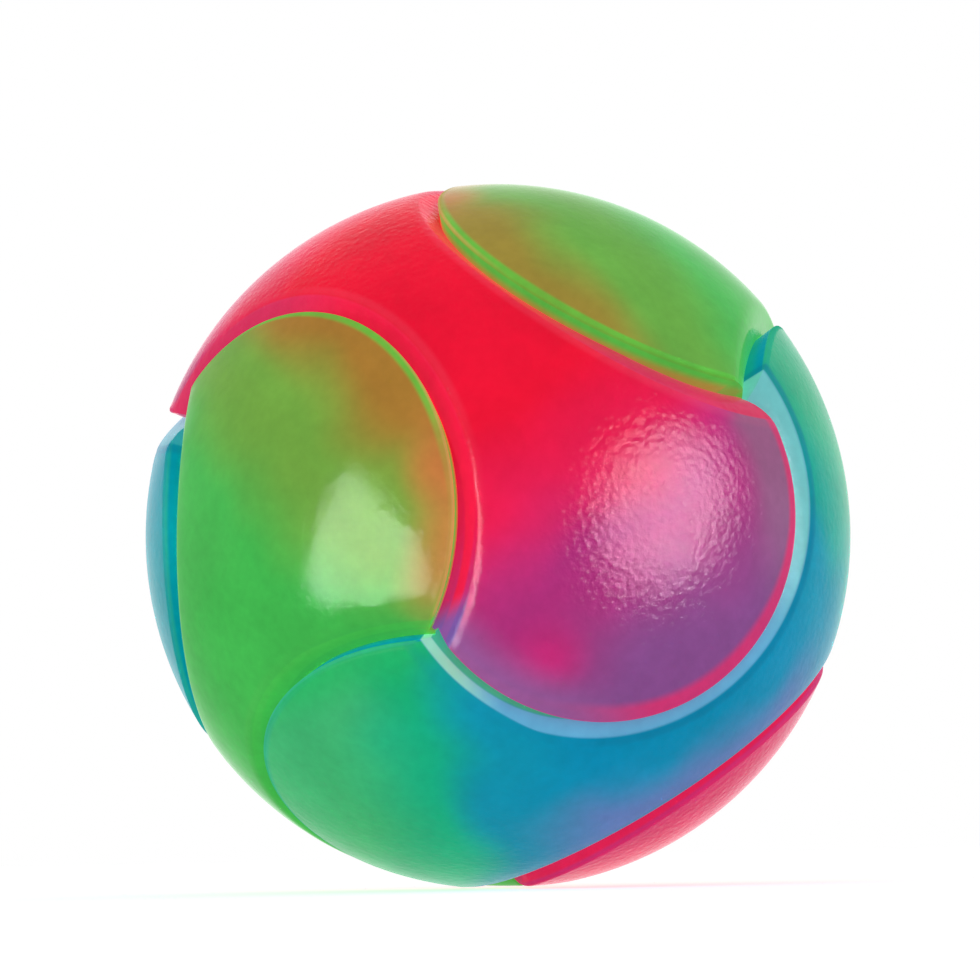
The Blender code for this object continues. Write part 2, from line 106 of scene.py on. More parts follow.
class Graph:
    """A node tree with short ways to add and join its nodes."""

    def __init__(self, tree: bpy.types.NodeTree) -> None:
        """Keep the tree that the nodes go into."""
        self.tree = tree

    def add(self, kind: str, **settings: object) -> bpy.types.Node:
        """Add a node.

        Args:
            kind: The node's type, without the ShaderNode in front.
            settings: Properties to set on the node.

        Returns:
            The new node.
        """
        node = self.tree.nodes.new("ShaderNode" + kind)
        for name, value in settings.items():
            setattr(node, name, value)
        return node

    def feed(self, target: Socket, source: Input) -> None:
        """Give an input socket a value, or join it to an output.

        Args:
            target: The input socket.
            source: An output socket, a number, or a colour or vector.
        """
        if isinstance(source, bpy.types.NodeSocket):
            self.tree.links.new(source, target)
        elif isinstance(source, (int, float)):
            target.default_value = source
        elif len(target.default_value) == 4:
            target.default_value = (*source, 1.0)
        else:
            target.default_value = source

    def math(self, operation: str, *values: Input) -> Socket:
        """A Math node.

        Args:
            operation: What the node does, such as MULTIPLY.
            values: One to three numbers or sockets.

        Returns:
            The node's output.
        """
        node = self.add("Math", operation=operation)
        for target, source in zip(node.inputs, values):
            self.feed(target, source)
        return node.outputs[0]

    def vector(self, operation: str, *values: Input) -> Socket:
        """A Vector Math node.

        Args:
            operation: What the node does, such as NORMALIZE.
            values: One or two vectors or sockets.

        Returns:
            The node's vector output.
        """
        node = self.add("VectorMath", operation=operation)
        for target, source in zip(node.inputs, values):
            self.feed(target, source)
        return node.outputs[0]

    def length(self, value: Input) -> Socket:
        """The length of a vector."""
        node = self.add("VectorMath", operation="LENGTH")
        self.feed(node.inputs[0], value)
        return node.outputs["Value"]

    def step(self, value: Input, start: Input, end: Input) -> Socket:
        """A soft step.

        Args:
            value: What is measured.
            start: Where the step is still 0.
            end: Where it has reached 1.

        Returns:
            A mask from 0 to 1.
        """
        node = self.add("MapRange", interpolation_type="SMOOTHSTEP")
        for target, source in zip(node.inputs, (value, start, end, 0.0, 1.0)):
            self.feed(target, source)
        return node.outputs[0]

    def stretch(self, value: Input, low: float, high: float) -> Socket:
        """Stretch a mask from 0 to 1 over another range.

        Args:
            value: The mask.
            low: The result where the mask is 0.
            high: The result where it is 1.

        Returns:
            The stretched value.
        """
        node = self.add("MapRange")
        for target, source in zip(node.inputs, (value, 0.0, 1.0, low, high)):
            self.feed(target, source)
        return node.outputs[0]

    def mix(self, factor: Input, first: Input, second: Input, blend: str = "MIX") -> Socket:
        """Mix two colours.

        Args:
            factor: The share of the second colour.
            first: The colour at 0.
            second: The colour at 1.
            blend: How the two are mixed.

        Returns:
            The mixed colour.
        """
        node = self.add("Mix", data_type="RGBA", blend_type=blend)
        for index, source in ((0, factor), (6, first), (7, second)):
            self.feed(node.inputs[index], source)
        return node.outputs[2]

    def noise(self, place: Input, scale: Input, detail: float = 2.0, offset: Input = 0.0) -> Socket:
        """A cloud of noise around a half.

        Args:
            place: Where the noise is read.
            scale: Clouds for each metre.
            detail: How many finer layers it has.
            offset: Which of the many clouds of that kind.

        Returns:
            A value from 0 to 1.
        """
        node = self.add("TexNoise", noise_dimensions="4D")
        self.feed(node.inputs["Vector"], place)
        self.feed(node.inputs["W"], offset)
        self.feed(node.inputs["Scale"], scale)
        self.feed(node.inputs["Detail"], detail)
        return node.outputs["Fac"]

    def attribute(self, name: str, output: str) -> Socket:
        """A value that the mesh keeps at its points.

        Args:
            name: The attribute's name.
            output: Which form of it is read.

        Returns:
            The value.
        """
        return self.add("Attribute", attribute_name=name).outputs[output]

    def split(self, value: Input) -> Sequence[Socket]:
        """The three parts of a vector."""
        node = self.add("SeparateXYZ")
        self.feed(node.inputs[0], value)
        return node.outputs[:]

    def below(self, value: Input, start: Input, end: Input) -> Socket:
        """A soft step downwards: 1 up to the start, 0 from the end on."""
        return self.math("SUBTRACT", 1.0, self.step(value, start, end))

    def product(self, first: Input, *others: Input) -> Input:
        """Several masks or numbers, multiplied."""
        for other in others:
            first = self.math("MULTIPLY", first, other)
        return first


class SocketKind(Enum):
    """The kinds of socket that a group of shader nodes has."""

    VALUE = "NodeSocketFloat"
    COLOR = "NodeSocketColor"
    VECTOR = "NodeSocketVector"


class Effect:
    """A group of shader nodes with named inputs and outputs."""

    def __init__(self, name: str, inputs: dict[str, SocketKind], outputs: dict[str, SocketKind]) -> None:
        """Make the empty group and its sockets.

        Args:
            name: The group's name.
            inputs: Its input sockets.
            outputs: Its output sockets.
        """
        self.tree = bpy.data.node_groups.new(name, "ShaderNodeTree")
        for label, kind in inputs.items():
            self.tree.interface.new_socket(label, in_out="INPUT", socket_type=kind.value)
        for label, kind in outputs.items():
            self.tree.interface.new_socket(label, in_out="OUTPUT", socket_type=kind.value)
        self.graph = Graph(self.tree)
        self.inputs = self.tree.nodes.new("NodeGroupInput").outputs
        self.outputs = self.tree.nodes.new("NodeGroupOutput").inputs

    def place(self, graph: Graph, **values: Input) -> bpy.types.bpy_prop_collection:
        """Put the group into a material.

        Args:
            graph: The material's nodes.
            values: What goes into the group's inputs, with _ for a space.

        Returns:
            The placed group's outputs.
        """
        node = graph.add("Group")
        node.node_tree = self.tree
        for label, source in values.items():
            graph.feed(node.inputs[label.replace("_", " ")], source)
        return node.outputs


@dataclass
class PanelShape:
    """One soft panel in its own frame: +Z out of its side, lobes along X, pockets along Y."""

    ball_radius: float
    lobe_thickness: float = 0.0032
    lap_gap: float = 0.0003
    plate_thickness: float = 0.0030
    seam_gap: float = 0.0002
    vertex_margin: float = 0.0005
    pocket_gap: float = 0.0001
    edge_round: float = 0.0003
    bevel_width: float = 0.00145
    bevel_growth: float = 0.00115
    bevel_turn: float = -0.2
    bevel_depth: float = 0.0018
    crest_drop: float = 0.00014
    crest_round: float = 0.00016
    shoulder_width: float = 0.0009
    line_step: float = 0.0006
    grid_step: float = 0.0013
    sharp_angle: float = math.radians(38.0)

    def __post_init__(self) -> None:
        """Work out the layers' radii and the angles that the ball's middle sees."""
        self.lap_radius = self.ball_radius - self.lobe_thickness
        self.pocket_radius = self.lap_radius - self.lap_gap
        self.plate_radius = self.pocket_radius - self.plate_thickness
        self.slant = math.tan(math.pi / 4.0 - self.seam_gap / 2.0 / self.ball_radius)
        corner = math.acos(math.sqrt(2.0 / 3.0))
        self.lobe_reach = corner - self.vertex_margin / self.ball_radius
        self.pocket_reach = self.lobe_reach + self.pocket_gap / self.ball_radius
        diagonal = math.sqrt(0.5)
        self.lobe_axes = [Vector((side * diagonal, 0.0, diagonal)) for side in (1.0, -1.0)]
        self.pocket_axes = [Vector((0.0, side * diagonal, diagonal)) for side in (1.0, -1.0)]

    def spread(self, direction: Vector) -> Vector:
        """Lay a direction out flat.

        Args:
            direction: A unit vector.

        Returns:
            Its place on a flat map, at its true angle from the panel's middle.
        """
        flat = Vector((direction.x, direction.y))
        angle = math.atan2(flat.length, direction.z)
        return flat * (angle / flat.length) if flat.length > 1e-9 else flat

    def raised(self, spot: Vector) -> Vector:
        """The direction of a spot on the flat map.

        Args:
            spot: A place on the flat map.

        Returns:
            A unit vector.
        """
        angle = spot.length
        if angle < 1e-9:
            return Vector((0.0, 0.0, 1.0))
        side = spot * (math.sin(angle) / angle)
        return Vector((side.x, side.y, math.cos(angle)))

    def inside_wedge(self, way: Vector) -> float:
        """How far a direction lies inside the panel's square share of the ball.

        Args:
            way: A unit vector.

        Returns:
            The distance in metres, below 0 outside.
        """
        over = self.slant * way.z - max(abs(way.x), abs(way.y))
        return over * self.ball_radius / math.hypot(1.0, self.slant)

    def inside_lobe(self, way: Vector) -> float:
        """How far a direction lies inside the nearer lobe's outline, in metres.

        Args:
            way: A unit vector.

        Returns:
            The distance, below 0 outside.
        """
        return self.ball_radius * (self.lobe_reach - min(way.angle(axis) for axis in self.lobe_axes))

    def beyond_pocket(self, way: Vector) -> float:
        """How far a direction lies outside the nearer pocket's edge, in metres.

        Args:
            way: A unit vector.

        Returns:
            The distance, below 0 in the pocket.
        """
        return self.ball_radius * (min(way.angle(axis) for axis in self.pocket_axes) - self.pocket_reach)

    def bevel_at(self, way: Vector) -> float:
        """The width of a pocket's bevel in a direction, which grows towards the ends of the pocket.

        Args:
            way: A unit vector.

        Returns:
            The width in metres.
        """
        turn = math.copysign(math.sqrt(3.0), way.y) * way.x
        return self.bevel_width + self.bevel_growth * (turn - self.bevel_turn) ** 2

    def drop(self, way: Vector) -> float:
        """How far the outer face lies below the ball: round rims, bevels and soft shoulders.

        Args:
            way: A unit vector.

        Returns:
            The depth in metres.
        """
        inset = max(self.inside_wedge(way), self.inside_lobe(way), 0.0)
        rest = max(self.edge_round - inset, 0.0)
        rim = self.edge_round - math.sqrt(self.edge_round**2 - rest**2)
        past, width = max(self.beyond_pocket(way), 0.0), self.bevel_at(way)
        slope = self.bevel_depth + (self.crest_drop - self.bevel_depth) * past / width
        fade = max(1.0 - (past - width) / self.shoulder_width, 0.0)
        shoulder = self.crest_drop * fade**2
        bevel = (slope + shoulder + math.hypot(slope - shoulder, self.crest_round)) / 2.0
        return max(rim, bevel if fade > 0.0 else 0.0)

    def circle(self, axis: Vector, reach: float) -> list[Vector]:
        """Directions around an axis.

        Args:
            axis: The circle's middle.
            reach: Its angle from the axis.

        Returns:
            A closed ring of unit vectors, starting on the far side of the panel's middle.
        """
        outward = (axis * axis.z - Vector((0.0, 0.0, 1.0))).normalized()
        aside = axis.cross(outward)
        count = math.ceil(math.tau * math.sin(reach) * self.ball_radius / self.line_step)
        ring = []
        for step in range(count + 1):
            turn = math.tau * step / count
            rim = outward * math.cos(turn) + aside * math.sin(turn)
            ring.append(axis * math.cos(reach) + rim * math.sin(reach))
        return ring

    def wedge_line(self, turn: float, crossing: float) -> list[Vector]:
        """One straight side of the panel's square share of the ball.

        Args:
            turn: Which side, as an angle around Z.
            crossing: Where an outline crosses the side, to either side of its middle.

        Returns:
            Unit vectors from corner to corner, with points at both crossings.
        """
        stops = [-self.slant, -crossing, crossing, self.slant]
        spots = []
        for low, high in zip(stops, stops[1:]):
            count = max(1, round((high - low) * self.ball_radius / 1.5 / self.line_step))
            spots += [low + (high - low) * step / count for step in range(count)]
        spots.append(self.slant)
        about = Matrix.Rotation(turn, 3, "Z")
        return [(about @ Vector((self.slant, spot, 1.0))).normalized() for spot in spots]

    def crossing(self, reach: float) -> float:
        """Where a circle of that angle crosses a side of the square share, as a slope."""
        return math.sqrt((self.slant + 1.0) ** 2 / (2.0 * math.cos(reach) ** 2) - self.slant**2 - 1.0)

    def arc(self, axis: Vector, reach: float, far: bool) -> list[Vector]:
        """The stretch of an outline that lies past, or short of, the side that it crosses.

        Args:
            axis: The circle's middle, on that side.
            reach: The circle's angle.
            far: True for the stretch outside the square share.

        Returns:
            Unit vectors from one crossing to the other.
        """
        slope = self.crossing(reach)
        side = Vector((axis.x, axis.y, 0.0)).normalized()
        across = Vector((-side.y, side.x, 0.0))
        base = side * self.slant + Vector((0.0, 0.0, 1.0))
        start, end = ((base + across * (sign * slope)).normalized() for sign in (-1.0, 1.0))
        outward = (axis * axis.z - Vector((0.0, 0.0, 1.0))).normalized()
        heading = outward if far else -outward
        aside = axis.cross(heading)
        first, last = (math.atan2(way.dot(aside), way.dot(heading)) for way in (start, end))
        count = math.ceil(abs(last - first) * math.sin(reach) * self.ball_radius / self.line_step)
        turns = [first + (last - first) * step / count for step in range(1, count)]
        middle = [heading * math.cos(turn) + aside * math.sin(turn) for turn in turns]
        points = [axis * math.cos(reach) + rim * math.sin(reach) for rim in middle]
        return [start, *points, end]

    def rim_rings(self) -> list[float]:
        """Distances inside a lobe's outline at which its round rim needs a ring of points."""
        rings = [self.edge_round * (1.0 - math.cos(math.radians(turn))) for turn in (25.0, 50.0, 90.0)]
        return [*rings, 1.6 * self.edge_round]

    def bevel_rings(self, width: float) -> list[float]:
        """Distances outside a pocket's edge at which its bevel and shoulder need a ring.

        Args:
            width: The bevel's width there.

        Returns:
            The distances in metres, from the pocket outwards.
        """
        slope = [width * share for share in (0.35, 0.65, 0.82, 0.92)]
        shoulder = [width + self.shoulder_width * share for share in (0.0, 0.12, 0.28, 0.6, 1.0)]
        return slope + shoulder

    def outlines(self) -> list[list[Vector]]:
        """The lines that part the panel's lobes, waist and pockets, and bound it."""
        lobe_slope = self.crossing(self.lobe_reach)
        pocket_slope = self.crossing(self.pocket_reach)
        lines = [self.wedge_line(turn, lobe_slope) for turn in (0.0, math.pi)]
        lines += [self.wedge_line(turn, pocket_slope) for turn in (math.pi / 2.0, -math.pi / 2.0)]
        lines += [self.arc(axis, self.lobe_reach, True) for axis in self.lobe_axes]
        lines += [self.arc(axis, self.pocket_reach, False) for axis in self.pocket_axes]
        return lines

    def creases(self) -> list[list[Vector]]:
        """Rings along the round rims and the bevels, cut where the panel ends."""
        rings = []
        least = self.line_step / 3.0
        for axis in self.lobe_axes:
            for inset in self.rim_rings():
                ring = self.circle(axis, self.lobe_reach - inset / self.ball_radius)
                rings.append([way if self.inside_wedge(way) < -least else None for way in ring])
        for axis in self.pocket_axes:
            foot = self.circle(axis, self.pocket_reach)
            for index in range(len(self.bevel_rings(0.0))):
                ring = [self.outside(axis, way, index) for way in foot]
                rings.append([way if self.on_face(way, least) else None for way in ring])
        return [run for ring in rings for run in self.runs(ring)]

    def outside(self, axis: Vector, foot: Vector, index: int) -> Vector:
        """A point of a bevel's ring, straight out from the pocket's edge.

        Args:
            axis: The pocket's middle.
            foot: A direction on the pocket's edge.
            index: Which ring, counted from the pocket.

        Returns:
            A unit vector.
        """
        past = self.bevel_rings(self.bevel_at(foot))[index]
        return Matrix.Rotation(past / self.ball_radius, 3, axis.cross(foot)) @ foot

    def on_face(self, way: Vector, least: float) -> bool:
        """Whether a direction lies on the outer face, clear of its outline and of both pockets.

        Args:
            way: A unit vector.
            least: The clearance in metres.

        Returns:
            True on the outer face.
        """
        inset = max(self.inside_wedge(way), self.inside_lobe(way) - self.edge_round)
        return inset > least and self.beyond_pocket(way) > least

    @staticmethod
    def runs(ring: Iterable[Vector | None]) -> list[list[Vector]]:
        """Split a ring at its gaps.

        Args:
            ring: Directions, with None at each gap.

        Returns:
            The unbroken stretches.
        """
        found: list[list[Vector]] = [[]]
        for way in ring:
            if way is None:
                found.append([])
            else:
                found[-1].append(way)
        return [run for run in found if len(run) > 1]

    def grid(self) -> list[Vector]:
        """Loose points that fill the panel between its lines, on a flat triangular grid."""
        step = self.grid_step / self.ball_radius
        reach = math.radians(82.0)
        clear = 0.6 * self.grid_step
        rims = [0.0, *self.rim_rings()]
        rows = math.ceil(reach / (step * math.sqrt(0.75)))
        columns = math.ceil(reach / step)
        points = []
        for row in range(-rows, rows + 1):
            for column in range(-columns, columns + 1):
                spot = Vector(((column + 0.5 * (row % 2)) * step, row * step * math.sqrt(0.75)))
                if spot.length > reach:
                    continue
                way = self.raised(spot)
                if self.cell(way) is None or abs(self.inside_wedge(way)) < clear:
                    continue
                lobe, pocket = self.inside_lobe(way), self.beyond_pocket(way)
                if min(abs(lobe - ring) for ring in rims) < clear and self.inside_wedge(way) < 0.0:
                    continue
                if min(abs(pocket - ring) for ring in (0.0, *self.bevel_rings(self.bevel_at(way)))) < clear:
                    continue
                points.append(way)
        return points

    def cell(self, way: Vector) -> "Cell | None":
        """Which part of the panel lies in a direction.

        Args:
            way: A unit vector.

        Returns:
            The part, or None outside the panel.
        """
        if self.inside_wedge(way) > 0.0:
            return Cell.POCKET if self.beyond_pocket(way) < 0.0 else Cell.WAIST
        past_side = abs(way.x) > abs(way.y) and abs(way.x) > self.slant * way.z
        return Cell.LAP if past_side and self.inside_lobe(way) > 0.0 else None

    def mesh(self, name: str) -> bpy.types.Mesh:
        """Build the panel as one closed mesh, which keeps each point's own place as an attribute.

        Args:
            name: The mesh's name.

        Returns:
            The finished mesh.
        """
        spots: list[Vector] = []
        edges: list[tuple[int, int]] = []
        for line in self.outlines() + self.creases():
            first = len(spots)
            spots += [self.spread(way) for way in line]
            edges += [(index, index + 1) for index in range(first, len(spots) - 1)]
        spots += [self.spread(way) for way in self.grid()]
        flat, _, triangles, *_ = delaunay_2d_cdt(spots, edges, [], 0, 1e-6)
        ways = [self.raised(spot) for spot in flat]
        return PanelSkin(self, ways, triangles).mesh(name)


class Cell(Enum):
    """The parts of a panel, as (outer layer, inner layer)."""

    WAIST = ("face", "plate")
    LAP = ("face", "lap")
    POCKET = ("pocket", "plate")


class PanelSkin:
    """The closed skin of a panel over a flat net of triangles."""

    def __init__(self, shape: PanelShape, ways: list[Vector], triangles: Iterable[Sequence[int]]) -> None:
        """Sort the triangles into the panel's parts.

        Args:
            shape: The panel's sizes.
            ways: The direction of each corner of the net.
            triangles: The corners of each triangle.
        """
        self.shape = shape
        self.ways = ways
        self.bm = bmesh.new()
        self.corners: dict[tuple[int, str], bmesh.types.BMVert] = {}
        self.layers: list[set[str]] = [set() for _ in ways]
        self.cells: list[tuple[tuple[int, ...], Cell]] = []
        for triangle in triangles:
            middle = sum((ways[corner] for corner in triangle), Vector()).normalized()
            part = shape.cell(middle)
            if part is not None:
                self.cells.append((tuple(triangle), part))

    def radius(self, corner: int, layer: str) -> float:
        """How far a layer lies from the ball's middle at one corner of the net.

        Args:
            corner: The corner's number.
            layer: face, lap, pocket or plate.

        Returns:
            The radius in metres.
        """
        shape = self.shape
        if layer == "face":
            return shape.ball_radius - shape.drop(self.ways[corner])
        return {"lap": shape.lap_radius, "pocket": shape.pocket_radius, "plate": shape.plate_radius}[layer]

    def vert(self, corner: int, layer: str) -> bmesh.types.BMVert:
        """The point of a layer at one corner of the net, made when first asked for."""
        key = (corner, layer)
        if key not in self.corners:
            self.corners[key] = self.bm.verts.new(self.ways[corner] * self.radius(corner, layer))
            self.layers[corner].add(layer)
        return self.corners[key]

    def chain(self, corner: int, ends: tuple[str, str]) -> list[bmesh.types.BMVert]:
        """The points of one upright edge of a wall, from its lower to its upper end.

        Args:
            corner: The corner's number.
            ends: The wall's lower and upper layer.

        Returns:
            The points, with those of layers in between.
        """
        low, high = (self.radius(corner, layer) for layer in ends)
        between = [layer for layer in self.layers[corner] if low < self.radius(corner, layer) < high]
        between.sort(key=lambda layer: self.radius(corner, layer))
        return [self.vert(corner, layer) for layer in (ends[0], *between, ends[1])]

    def mesh(self, name: str) -> bpy.types.Mesh:
        """Make both faces, then the walls where parts meet or end.

        Args:
            name: The mesh's name.

        Returns:
            The finished mesh.
        """
        sides: dict[tuple[int, int], Cell] = {}
        for corners, part in self.cells:
            outer, inner = part.value
            self.bm.faces.new([self.vert(corner, outer) for corner in corners])
            self.bm.faces.new([self.vert(corner, inner) for corner in reversed(corners)])
            for start, end in zip(corners, corners[1:] + corners[:1]):
                sides[start, end] = part
        for (start, end), part in sides.items():
            for ends in self.wall(part, sides.get((end, start))):
                self.bm.faces.new(self.chain(start, ends) + self.chain(end, ends)[::-1])
        bmesh.ops.triangulate(self.bm, faces=[face for face in self.bm.faces if len(face.verts) > 4])
        bmesh.ops.recalc_face_normals(self.bm, faces=self.bm.faces)
        loose = [edge for edge in self.bm.edges if len(edge.link_faces) != 2]
        if loose:
            raise ValueError(f"{name} is open along {len(loose)} edges")
        mesh = bpy.data.meshes.new(name)
        self.bm.to_mesh(mesh)
        self.bm.free()
        mesh.shade_smooth()
        mesh.set_sharp_from_angle(angle=self.shape.sharp_angle)
        place = mesh.attributes.new(PLACE, "FLOAT_VECTOR", "POINT")
        place.data.foreach_set("vector", [part for vert in mesh.vertices for part in vert.co])
        return mesh

    @staticmethod
    def wall(part: Cell, other: Cell | None) -> list[tuple[str, str]]:
        """The walls that a part has towards its neighbour in the net.

        Args:
            part: The part.
            other: The part across the edge, or None past the outline.

        Returns:
            The lower and upper layer of each wall that this part makes.
        """
        if other is None:
            return [(part.value[1], part.value[0])]
        walls = []
        if part is Cell.WAIST and other is Cell.POCKET:
            walls.append(("pocket", "face"))
        if part is Cell.LAP and other is Cell.WAIST:
            walls.append(("plate", "lap"))
        return walls


class Zone(Enum):
    """The zones of a panel with a tint of their own, from the lowest layer to the topmost. Some are painted
    light: a painted reflection, walls painted lighter, highlights along the lobes' rims, bevels painted
    lighter with their highlight, and thin lines of painted highlight and shade along the crests.
    """

    SHADE = "Shade"
    VERGE = "Verge"
    NEAR = "Near"
    FAR = "Far"
    SPOT = "Spot"
    # painted reflection: a greyish veil near a lobe's rim, towards one end, standing in for the white
    # surround mirrored there
    VEIL = "Veil"
    RIM = "Rim"
    FLANK = "Flank"
    # the lobes' walls in their own unmixed colour, painted lighter on red and green: painted light where the
    # walls face away from the fill
    WALL = "Wall"
    FOOT = "Foot"
    # painted highlight: a thin pale line along the lobes' rounded top rim
    EDGE = "Edge"
    # painted light on the pockets' bevels: painted lighter where a bevel lies in its neighbour's shade, with
    # paler wide and narrow ends that stand in for the highlight along its crest
    BAND = "Band"
    BAND_END = "Band End"
    BAND_WIDE = "Band Wide"
    STRIP = "Strip"
    TIP = "Tip"
    # a thin line just outside each bevel's crest: a painted highlight on red and green, painted shade on blue
    CREST = "Crest"


class SharedEffects:
    """The groups of shader nodes that several finishes use."""

    def __init__(self, shape: PanelShape) -> None:
        """Build the groups.

        Args:
            shape: The panel's sizes, which the zones of its finish follow.
        """
        self.zones = self.panel_zones(shape)
        self.tint = self.layered_tint()
        self.grain = self.pebble_grain()
        self.lines = self.drawn_lines()
        self.clouds = self.cloudy_depth()

    @staticmethod
    def panel_zones(shape: PanelShape) -> Effect:
        """Masks of a panel's zones, from each point's place in the panel's own frame.

        Args:
            shape: The panel's sizes.

        Returns:
            The group, with a mask for each zone, and Matt, a mask of the lobes' duller edges.
        """
        kind = SocketKind.VALUE
        given = ("Lap Start", "Lap End", "Far Start", "Far End", "Rim Width", "Spot Size", "Shift", "Offset")
        inputs = dict.fromkeys(given, kind) | {"Spot Place": SocketKind.VECTOR}
        effect = Effect("panel_zones", inputs, {zone.value: kind for zone in Zone} | {"Matt": kind})
        graph, given = effect.graph, effect.inputs
        place = graph.attribute(PLACE, "Vector")
        way = graph.vector("NORMALIZE", place)
        signed, lean, out = graph.split(way)
        along, across, _ = graph.split(graph.vector("ABSOLUTE", way))
        radius = shape.ball_radius
        diagonal = math.sqrt(0.5)

        def reach(side: Socket) -> Socket:
            """The distance from the middle of a side, along the ball."""
            leaning = graph.math("MULTIPLY", graph.math("ADD", side, out), diagonal)
            return graph.math("MULTIPLY", graph.math("ARCCOSINE", leaning), radius)

        drift = graph.math("SUBTRACT", graph.noise(place, 85.0, 1.0, given["Offset"]), 0.5)
        cloud = graph.step(graph.noise(place, 130.0, 2.0, given["Offset"]), 0.3, 0.7)
        turn = graph.product(graph.math("SIGN", lean), signed, math.sqrt(3.0))
        side = graph.product(graph.math("SIGN", signed), lean, math.sqrt(3.0))
        over = graph.product(graph.math("SUBTRACT", along, out), diagonal * radius)
        shift = graph.product(given["Shift"], graph.math("LESS_THAN", signed, 0.0))
        past = graph.math("ADD", graph.math("ADD", over, shift), graph.product(drift, 0.010))
        inset = graph.math("SUBTRACT", shape.lobe_reach * radius, reach(along))
        beyond = graph.math("SUBTRACT", reach(across), shape.pocket_reach * radius)
        bend = graph.math("POWER", graph.math("SUBTRACT", turn, shape.bevel_turn), 2.0)
        width = graph.math("MULTIPLY_ADD", bend, shape.bevel_growth, shape.bevel_width)
        beside = graph.math("SUBTRACT", beyond, width)
        depth = graph.math("SUBTRACT", radius, graph.length(place))
        aside = graph.product(graph.math("ADD", lean, graph.product(drift, 0.4)), radius)
        apart = graph.length(graph.vector("SUBTRACT", way, given["Spot Place"]))
        soft = shape.bevel_width / 12.0
        on_lobe = graph.step(over, -0.0010, 0.0010)
        lap = graph.product(
            graph.step(past, given["Lap Start"], given["Lap End"]), graph.attribute(LAP_DEPTH, "Fac")
        )
        slim_ends = graph.product(
            graph.stretch(graph.step(side, -0.95, -0.55), 0.5, 1.0),
            graph.stretch(graph.step(side, 0.2, 0.9), 1.0, 0.6),
        )
        rim_width = graph.product(given["Rim Width"], slim_ends)
        rim = graph.below(inset, graph.product(rim_width, 0.65), graph.product(rim_width, 1.25))
        at_edge = graph.product(on_lobe, graph.below(depth, 0.0001, 0.0005))
        wall = graph.product(
            on_lobe, graph.below(inset, 0.0001, 0.0002), graph.step(depth, 0.0002, 0.0006)
        )
        slope = graph.below(beside, -soft, soft)
        tip_half = graph.below(turn, -0.5, -0.2)
        strip = graph.stretch(graph.step(turn, -1.0, -0.2), 0.0009, -0.0004)
        limit = graph.stretch(graph.step(turn, -1.0, -0.2), 0.0017, 0.0040)
        outer = graph.step(graph.math("SUBTRACT", beyond, strip), -soft, soft)
        inner = graph.below(graph.math("SUBTRACT", beyond, limit), -soft, soft)
        # painted light: where a pocket's bevel is painted lighter, and paler at its ends
        lit_band = graph.product(slope, outer, inner, graph.attribute(LIT_BAND_DEPTH, "Fac"))
        line = graph.math("ABSOLUTE", graph.math("SUBTRACT", beside, 0.0004))
        masks = {
            Zone.SHADE: graph.step(aside, -0.003, 0.005),
            Zone.VERGE: graph.step(past, -0.013, -0.003),
            Zone.NEAR: lap,
            Zone.FAR: graph.product(lap, graph.step(past, given["Far Start"], given["Far End"])),
            Zone.SPOT: graph.product(lap, graph.below(graph.product(apart, radius), 0.0, given["Spot Size"])),
            # painted reflection: a greyish veil on the lapped lobe near its rim, towards one end
            Zone.VEIL: graph.product(
                lap, on_lobe, graph.below(inset, 0.0040, 0.0085), graph.step(side, 0.3, 0.75)
            ),
            Zone.RIM: graph.product(rim, on_lobe, graph.stretch(cloud, 0.8, 1.0)),
            Zone.FLANK: graph.product(
                lap, on_lobe, graph.below(inset, 0.0005, 0.0055), graph.below(side, -0.75, -0.3)
            ),
            # the lobes' walls: own colour, painted lighter on red and green as painted light
            Zone.WALL: wall,
            Zone.FOOT: graph.product(wall, graph.step(depth, 0.0008, 0.0021)),
            # painted highlight along the lobes' rounded top rim, on one part of each lobe
            Zone.EDGE: graph.product(
                at_edge, graph.below(inset, 0.0001, 0.00035), graph.below(side, -0.4, 0.2)
            ),
            Zone.BAND: lit_band,
            Zone.BAND_END: graph.product(lit_band, tip_half, graph.step(over, -0.006, -0.001)),
            Zone.BAND_WIDE: graph.product(lit_band, graph.step(turn, 0.25, 0.85)),
            Zone.STRIP: graph.product(slope, graph.math("SUBTRACT", 1.0, outer)),
            Zone.TIP: graph.product(slope, tip_half, graph.step(over, -0.0020, 0.0001)),
            # painted highlight or painted shade just outside the bevel's crest, by panel colour
            Zone.CREST: graph.product(
                graph.below(line, 0.0001, 0.0007), graph.stretch(graph.step(turn, -0.9, -0.3), 0.2, 1.0)
            ),
        }
        for zone, mask in masks.items():
            graph.feed(effect.outputs[zone.value], mask)
        graph.feed(effect.outputs["Matt"], graph.product(at_edge, graph.below(inset, 0.0002, 0.0007)))
        return effect

    @staticmethod
    def layered_tint() -> Effect:
        """The colour of a see-through panel: its own, with the tint of each zone laid over it, several of
        which are painted light and shade.

        Returns:
            The group.
        """
        colors = ("Own", *(zone.value for zone in Zone))
        values = ("Offset", *(f"{zone.value} {part}" for zone in Zone for part in ("Mask", "Share")))
        inputs = dict.fromkeys(colors, SocketKind.COLOR) | dict.fromkeys(values, SocketKind.VALUE)
        effect = Effect("layered_tint", inputs, {"Color": SocketKind.COLOR})
        graph, given = effect.graph, effect.inputs
        color = given["Own"]
        for zone in Zone:
            factor = graph.product(given[f"{zone.value} Mask"], given[f"{zone.value} Share"])
            color = graph.mix(factor, color, given[zone.value])
        place = graph.attribute(PLACE, "Vector")
        speckle = graph.stretch(graph.noise(place, 900.0, 2.0, given["Offset"]), 0.90, 1.10)
        cloud = graph.step(graph.noise(place, 130.0, 2.0, given["Offset"]), 0.3, 0.7)
        depth = graph.product(speckle, graph.stretch(cloud, 0.94, 1.06))
        grey = graph.add("CombineColor")
        for part in grey.inputs[:3]:
            graph.feed(part, depth)
        graph.feed(effect.outputs["Color"], graph.mix(1.0, color, grey.outputs[0], "MULTIPLY"))
        return effect

